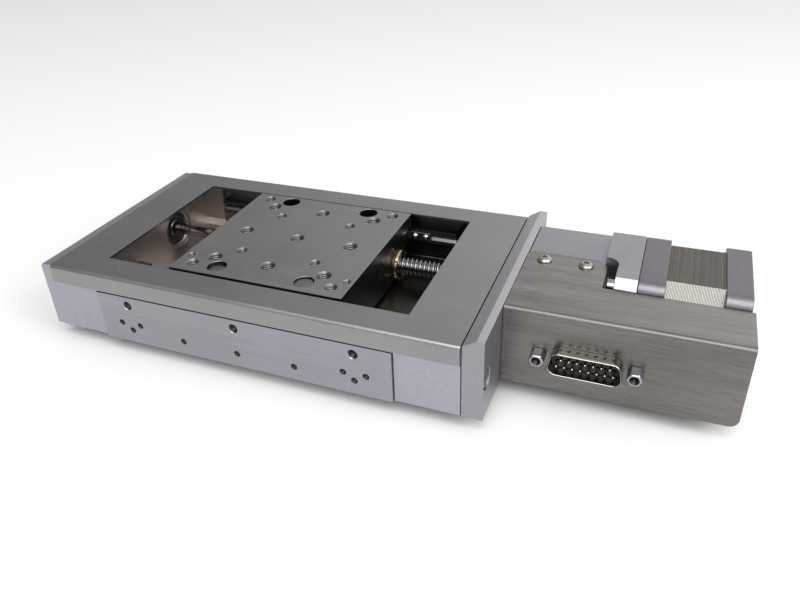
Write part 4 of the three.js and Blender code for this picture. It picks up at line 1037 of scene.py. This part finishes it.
def build_box():
    T, R = 1.0, 1.6
    o = [(BOX_Y0, BOX_Z0)] + arc(BOX_Y0 + R, BOX_TOP - R, R, 180, 90, 10) + [(BOX_Y1, BOX_TOP), (BOX_Y1, BOX_TOP - T)]
    o += arc(BOX_Y0 + R, BOX_TOP - R, R - T, 90, 180, 8) + [(BOX_Y0 + T, BOX_Z0)]
    ob = prism("connector_box_folded", o, "X", BOX_X0, BOX_X1, 0.1, 2, 40)
    lap = [(BOX_X0, BOX_Y1 - 1.5), (129.0, BOX_Y1 - 1.5), (129.0, 11.2)]
    lap += [(125.2, 15.9)] + arc(BOX_X0 + 4, 15.9 - 4, 4, 90, 180, 10)
    boolean(ob, [[prism_bm(lap, "Z", BOX_TOP - T, BOX_TOP, 0.28, 3, 25)]], "UNION")
    # right-hand wall, folded down behind the front one
    wall = [(BOX_Y0 + 0.75, 11.2)] + [(BOX_Y0 + 0.75, BOX_TOP - 0.5), (BOX_Y1, BOX_TOP - 0.5), (BOX_Y1, 11.2)]
    boolean(ob, [[prism_bm(wall, "X", BOX_X1 - T, BOX_X1, 0.1, 2, 40)]], "UNION")
    corner = [(BOX_X1 - 3.6, BOX_Z0 - 1), (BOX_X1 + 1, BOX_Z0 - 1), (BOX_X1 + 1, BOX_Z0 + 3.6)] + arc(BOX_X1 - 3.6, BOX_Z0 + 3.6, 3.6, 0, -90, 12)
    boolean(ob, [[prism_bm(corner, "Y", BOX_Y0 - 1, BOX_Y0 + 2, 0)]])
    holes = [prism_bm(d_outline(12.47, 4.75, 2.98), "Y", BOX_Y0 - 1, BOX_Y0 + 2, 0)]
    holes += [lathe_bm([(BOX_Y0 - 1, 0), (BOX_Y0 - 1, 1.6), (BOX_Y0 + 2, 1.6), (BOX_Y0 + 2, 0)], "Y", DS_X + s * JACK, DS_Z, 28) for s in (-1, 1)]
    holes += [lathe_bm([(38, 0), (38, 1.7), (41, 1.7), (41, 0)], "Z", x, 9.6, 28) for x in (105.3, 121.1)]
    boolean(ob, [holes])
    finish_mesh(ob, [M["box"], M["box_front"], M["box_bend"], M["box_edge"]], 40)

    def pick(c, n):
        # index 3: the rounded rear edge of the lap, with the painted highlight
        if c.y > 8 and c.z > BOX_TOP - 0.34 and (n.y > 0.25 or n.x < -0.25) and n.z > 0.1:
            return 3
        # index 2: the front fold, in the shaded copy
        if c.y < BOX_Y0 + R and c.z > BOX_TOP - R - 0.1:
            return 2
        # index 1: the front faces, in the shaded copy
        return 1 if c.y < BOX_Y0 + 0.2 else 0

    face_materials(ob, pick)
    install(ob, "frame", "cover_stainless", "connector_box")


build_box()


def panel(name, pts, axis, t0, t1, node_name, holes=()):
    ob = prism(name, pts, axis, t0, t1, 0.1, 2, 40)
    if holes:
        boolean(ob, [list(holes)])
    finish_mesh(ob, M["box"], 40)
    install(ob, "frame", "cover_stainless", node_name)


def rr(a0, a1, b0, b1, r, n=5):
    o = []
    ca, cb, ha, hb = (a0 + a1) / 2, (b0 + b1) / 2, (a1 - a0) / 2, (b1 - b0) / 2
    for sx, sy, g in [(1, 1, 0), (-1, 1, 90), (-1, -1, 180), (1, -1, 270)]:
        o += arc(ca + sx * (ha - r), cb + sy * (hb - r), r, g, g + 90, n)
    return o


panel("box_bottom_sheet", rr(98.6, 178.4, -25.7, -4.8, 1.2), "Z", 7.2, 8.2, "box_bottom_panel",
      [lathe_bm([(6, 0), (6, 1.5), (9, 1.5), (9, 0)], "Z", x, -15.0, 24) for x in (104.0, 172.5)])
panel("box_back_sheet", rr(129.9, 178.4, 8.4, 38.3, 1.2), "Y", -5.5, -4.6, "box_back_panel")


def button_screw(name, x, node_name):
    top = BOX_TOP + 0.02
    ob = lathe(name, [(36.4, 0), (36.4, 1.2), (36.7, 1.45), (top, 1.45), (top, 2.7), (top + 0.12, 2.85), (top + 0.42, 2.82), (top + 0.75, 2.62), (top + 1.05, 2.3),
                      (top + 1.3, 1.85), (top + 1.42, 1.5), (top + 1.44, 1.3), (top + 1.44, 0)], "Z", x, 9.6, 48)
    boolean(ob, [[socket("Z", x, 9.6, top + 1.44, -1, 1.15, 0.85)]])
    finish_mesh(ob, M["button"], 35)
    install(ob, "frame", "hardware_zinc", node_name)


button_screw("box_button_screw_left", 105.3, "box_screw_left")
button_screw("box_button_screw_right", 121.1, "box_screw_right")


# ================================================================== 15-way connector
def loft(name, outlines, mat, closed_ring=True):
    """Skins a list of ([(x, z)], y) outlines into one closed ring body."""
    bm = bmesh.new()
    rings = [[bm.verts.new(Vector((x, y, z))) for x, z in pts] for pts, y in outlines]
    n = len(rings[0])
    for A, B in zip(rings, rings[1:] + rings[:1]):
        for j in range(n):
            bm.faces.new([A[j], A[(j + 1) % n], B[(j + 1) % n], B[j]])
    return to_object(bm, name)


def build_connector():
    W, H, R = 12.38, 4.66, 2.9
    t = 0.48
    sec = []
    # outer skin from the flange to the lip, lip rolled over, then the inside back again
    for y, d in [(-25.0, 0.0), (-25.9, 0.0), (-30.9, 0.0), (-31.45, -0.03), (-31.72, -0.14), (-31.8, -0.26), (-31.72, -0.38), (-31.45, -0.46), (-30.9, -t), (-25.0, -t)]:
        sec.append((d_outline(W + d, H + d, R + d), y))
    ob = loft("connector_shell_drawn", sec, None)
    # dimples pressed in along the two long sides of the shell
    dimples = []
    flange = prism_bm(rr(DS_X - 19.5, DS_X + 19.5, DS_Z - 6.2, DS_Z + 6.2, 1.2, 6), "Y", -25.8, -25.0, 0.12, 2, 40)
    fl_ob = to_object(flange, "tmp_flange")
    boolean(fl_ob, [[prism_bm(d_outline(W - 0.25, H - 0.25, R - 0.25), "Y", -27, -24, 0)]])
    boolean(fl_ob, [[lathe_bm([(-27, 0), (-27, 1.6), (-24, 1.6), (-24, 0)], "Y", DS_X + s * JACK, DS_Z, 28) for s in (-1, 1)]])
    md = ob.modifiers.new("u", "BOOLEAN")
    md.operation = "UNION"
    md.solver = "EXACT"
    md.object = fl_ob
    evaluate(ob)
    bpy.data.objects.remove(fl_ob)
    for k in range(7):
        x = DS_X + (k - 3) * 3.0
        for s in (1, -1):
            if s < 0 and k in (0, 6):
                pass
            c = bmesh.new()
            bmesh.ops.create_uvsphere(c, u_segments=20, v_segments=12, radius=1.0)
            c.transform(Matrix.Translation((x, -28.7, DS_Z + s * (H + 0.52))) @ Matrix.Diagonal((0.85, 1.25, 0.78, 1)))
            dimples.append(c)
    boolean(ob, [dimples])
    finish_mesh(ob, [M["nickel"], M["dimple"]], 40)
    # index 1: the dimple faces, with the painted shade
    face_materials(ob, lambda c, n: 1 if (H - 0.33 < abs(c.z - DS_Z) < H - 0.012 and abs(c.y + 28.7) < 1.3 and abs(c.x - DS_X) < 9.95) else 0)
    install(ob, "frame", "shell_nickel", "dsub_shell")

    pins = [(DS_X + (i - 3.5) * 2.77, DS_Z - 1.42) for i in range(8)] + [(DS_X + (i - 3) * 2.77, DS_Z + 1.42) for i in range(7)]
    ins = prism("connector_insulator_moulded", d_outline(11.75, 4.03, 2.3), "Y", -27.0, -21.6, 0.2, 2, 40)
    boolean(ins, [[lathe_bm([(-28, 0), (-28, 1.2), (-27.0, 0.85), (-26.7, 0.6), (-21, 0.6), (-21, 0)], "Y", x, z, 20) for x, z in pins]])
    finish_mesh(ins, M["black"], 35)
    install(ins, "frame", "black_plastic", "dsub_insulator")

    bms = []
    for x, z in pins:
        bms.append(lathe_bm([(-31.0, 0), (-30.97, 0.16), (-30.8, 0.34), (-30.5, 0.46), (-30.2, 0.5), (-21.5, 0.5), (-21.5, 0.42), (-21.0, 0.42), (-21.0, 0.0)], "Y", x, z, 20))
    brd = prism_bm(rr(DS_X - 13.5, DS_X + 13.5, DS_Z - 7, DS_Z + 7, 0.6, 4), "Y", -20.95, -19.8, 0.08, 1, 40)
    ob = to_object(join_bm(*bms, brd), "connector_contacts_on_board")
    finish_mesh(ob, [M["pin"], M["board"]], 35)
    face_materials(ob, lambda c, n: 1 if c.y > -20.97 and (abs(n.y) < 0.5 or c.y > -20.9 or True) and c.y > -20.96 else 0)
    install(ob, "frame", "collar_brass", "dsub_contacts")

    for nm, s in (("left", -1), ("right", 1)):
        x = DS_X + s * JACK
        j = lathe("jack_screw_%s_hex" % nm, [(-32.0, 0), (-32.0, 2.35), (-31.75, 2.72), (-27.2, 2.75), (-26.95, 2.5), (-26.95, 0)], "Y", x, DS_Z, 6)
        boolean(j, [[lathe_bm([(-27.2, 0), (-27.2, 1.3), (-22.9, 1.3), (-22.8, 1.1), (-22.8, 0)], "Y", x, DS_Z, 28)]], "UNION")
        # turned face chamfer on the hexagon
        trim = lathe_bm([(-33, 2.3), (-33, 5), (-31.0, 5), (-31.0, 3.0), (-32.05, 2.3)], "Y", x, DS_Z, 48, closed=True)
        boolean(j, [[trim]])
        boolean(j, [[tapped("Y", x, DS_Z, -32.0, 1, 1.42, 4.6, 0.64, 28, 0.3)]])
        finish_mesh(j, [M["zinc"], M["hole"]], 25)
        # index 1: painted shade inside the jack screw's tapped hole
        face_materials(j, lambda c, n: 1 if (math.hypot(c.x - x, c.z - DS_Z) < 1.62 and -31.95 < c.y < -27.3) else 0)
        install(j, "frame", "hardware_zinc", "jack_screw_" + nm)


build_connector()


# ================================================================== sensor strip and limit switches
def sensor_parts():
    for nm in ("sensor_board", "limit_switch_left", "limit_switch_right"):
        if nm not in NODES:
            continue
        o = NODES[nm]
        o.data.materials.clear()
        o.data.materials.append(M["board"] if nm == "sensor_board" else M["black"])
        bv = o.modifiers.new("edge", "BEVEL")
        bv.width = 0.2 * MM
        bv.segments = 2
        bv.limit_method = "ANGLE"


sensor_parts()

# ================================================================== stage: floor, light, camera
bpy.ops.mesh.primitive_plane_add(size=30, location=(0, 0, -0.0004))
floor = bpy.context.object
floor.name = "studio_floor"
fm, fnt, fb = new_mat("floor_paper")
fb.inputs["Base Color"].default_value = (0.72, 0.72, 0.72, 1)
fb.inputs["Roughness"].default_value = 0.75
fb.inputs["Specular IOR Level"].default_value = 0.2
floor.data.materials.append(fm)

world = bpy.data.worlds.new("studio")
scene.world = world
world.use_nodes = True
wn = world.node_tree
wn.nodes.clear()
wo = wn.nodes.new("ShaderNodeOutputWorld")
bg = wn.nodes.new("ShaderNodeBackground")
bg.inputs["Strength"].default_value = 1.0
wn.links.new(bg.outputs[0], wo.inputs[0])
# the studio is brighter to the right and overhead than behind on the left
wtc = wn.nodes.new("ShaderNodeTexCoord")
sep = wn.nodes.new("ShaderNodeSeparateXYZ")
wn.links.new(wtc.outputs["Generated"], sep.inputs[0])


def wmap(sock, a, b, lo, hi):
    n = wn.nodes.new("ShaderNodeMapRange")
    n.interpolation_type = "SMOOTHSTEP"
    for k, v in (("From Min", a), ("From Max", b), ("To Min", lo), ("To Max", hi)):
        n.inputs[k].default_value = v
    wn.links.new(sock, n.inputs["Value"])
    return n.outputs["Result"]


wmul = wn.nodes.new("ShaderNodeMath")
wmul.operation = "MULTIPLY"
wn.links.new(wmap(sep.outputs["X"], -0.80, 0.25, 0.34, 1.30), wmul.inputs[0])
wn.links.new(wmap(sep.outputs["Z"], 0.25, 0.75, 1.0, 0.85), wmul.inputs[1])
wn.links.new(wmul.outputs[0], bg.inputs["Strength"])
bg.inputs["Color"].default_value = (1.0, 0.995, 0.99, 1)


def area(name, loc, target, size, power, color=(1, 1, 1), size_y=None):
    li = bpy.data.lights.new(name, "AREA")
    li.energy = power
    li.color = color
    li.shape = "RECTANGLE" if size_y else "SQUARE"
    li.size = size
    if size_y:
        li.size_y = size_y
    ob = bpy.data.objects.new(name, li)
    ob.location = loc
    d = Vector(target) - Vector(loc)
    ob.rotation_euler = d.to_track_quat("-Z", "Y").to_euler()
    scene.collection.objects.link(ob)
    return ob


area("softbox_front_top", (0.20, -0.80, 1.25), (0.05, 0, 0), 1.0, 14)
area("softbox_right", (1.05, -0.25, 0.75), (-0.05, 0, 0.02), 0.6, 7, (1.0, 0.975, 0.95))

cam_data = bpy.data.cameras.new("photo_camera")
cam = bpy.data.objects.new("photo_camera", cam_data)
scene.collection.objects.link(cam)
cam_data.sensor_width = 36.0
cam_data.lens = 32.722
cam_data.shift_x = 0.01589
cam_data.shift_y = -0.04206
cam_data.clip_start = 0.005
r = Vector((0.926867, 0.373255, -0.039986))
u = Vector((-0.15508, 0.47773, 0.864711))
d = Vector((-0.34186, 0.795271, -0.500676))
loc = Vector((0.1455547, -0.2388293, 0.1810352))
cam.matrix_world = Matrix(((r.x, u.x, -d.x, loc.x), (r.y, u.y, -d.y, loc.y), (r.z, u.z, -d.z, loc.z), (0, 0, 0, 1)))
scene.camera = cam
scene.view_settings.view_transform = "Standard"
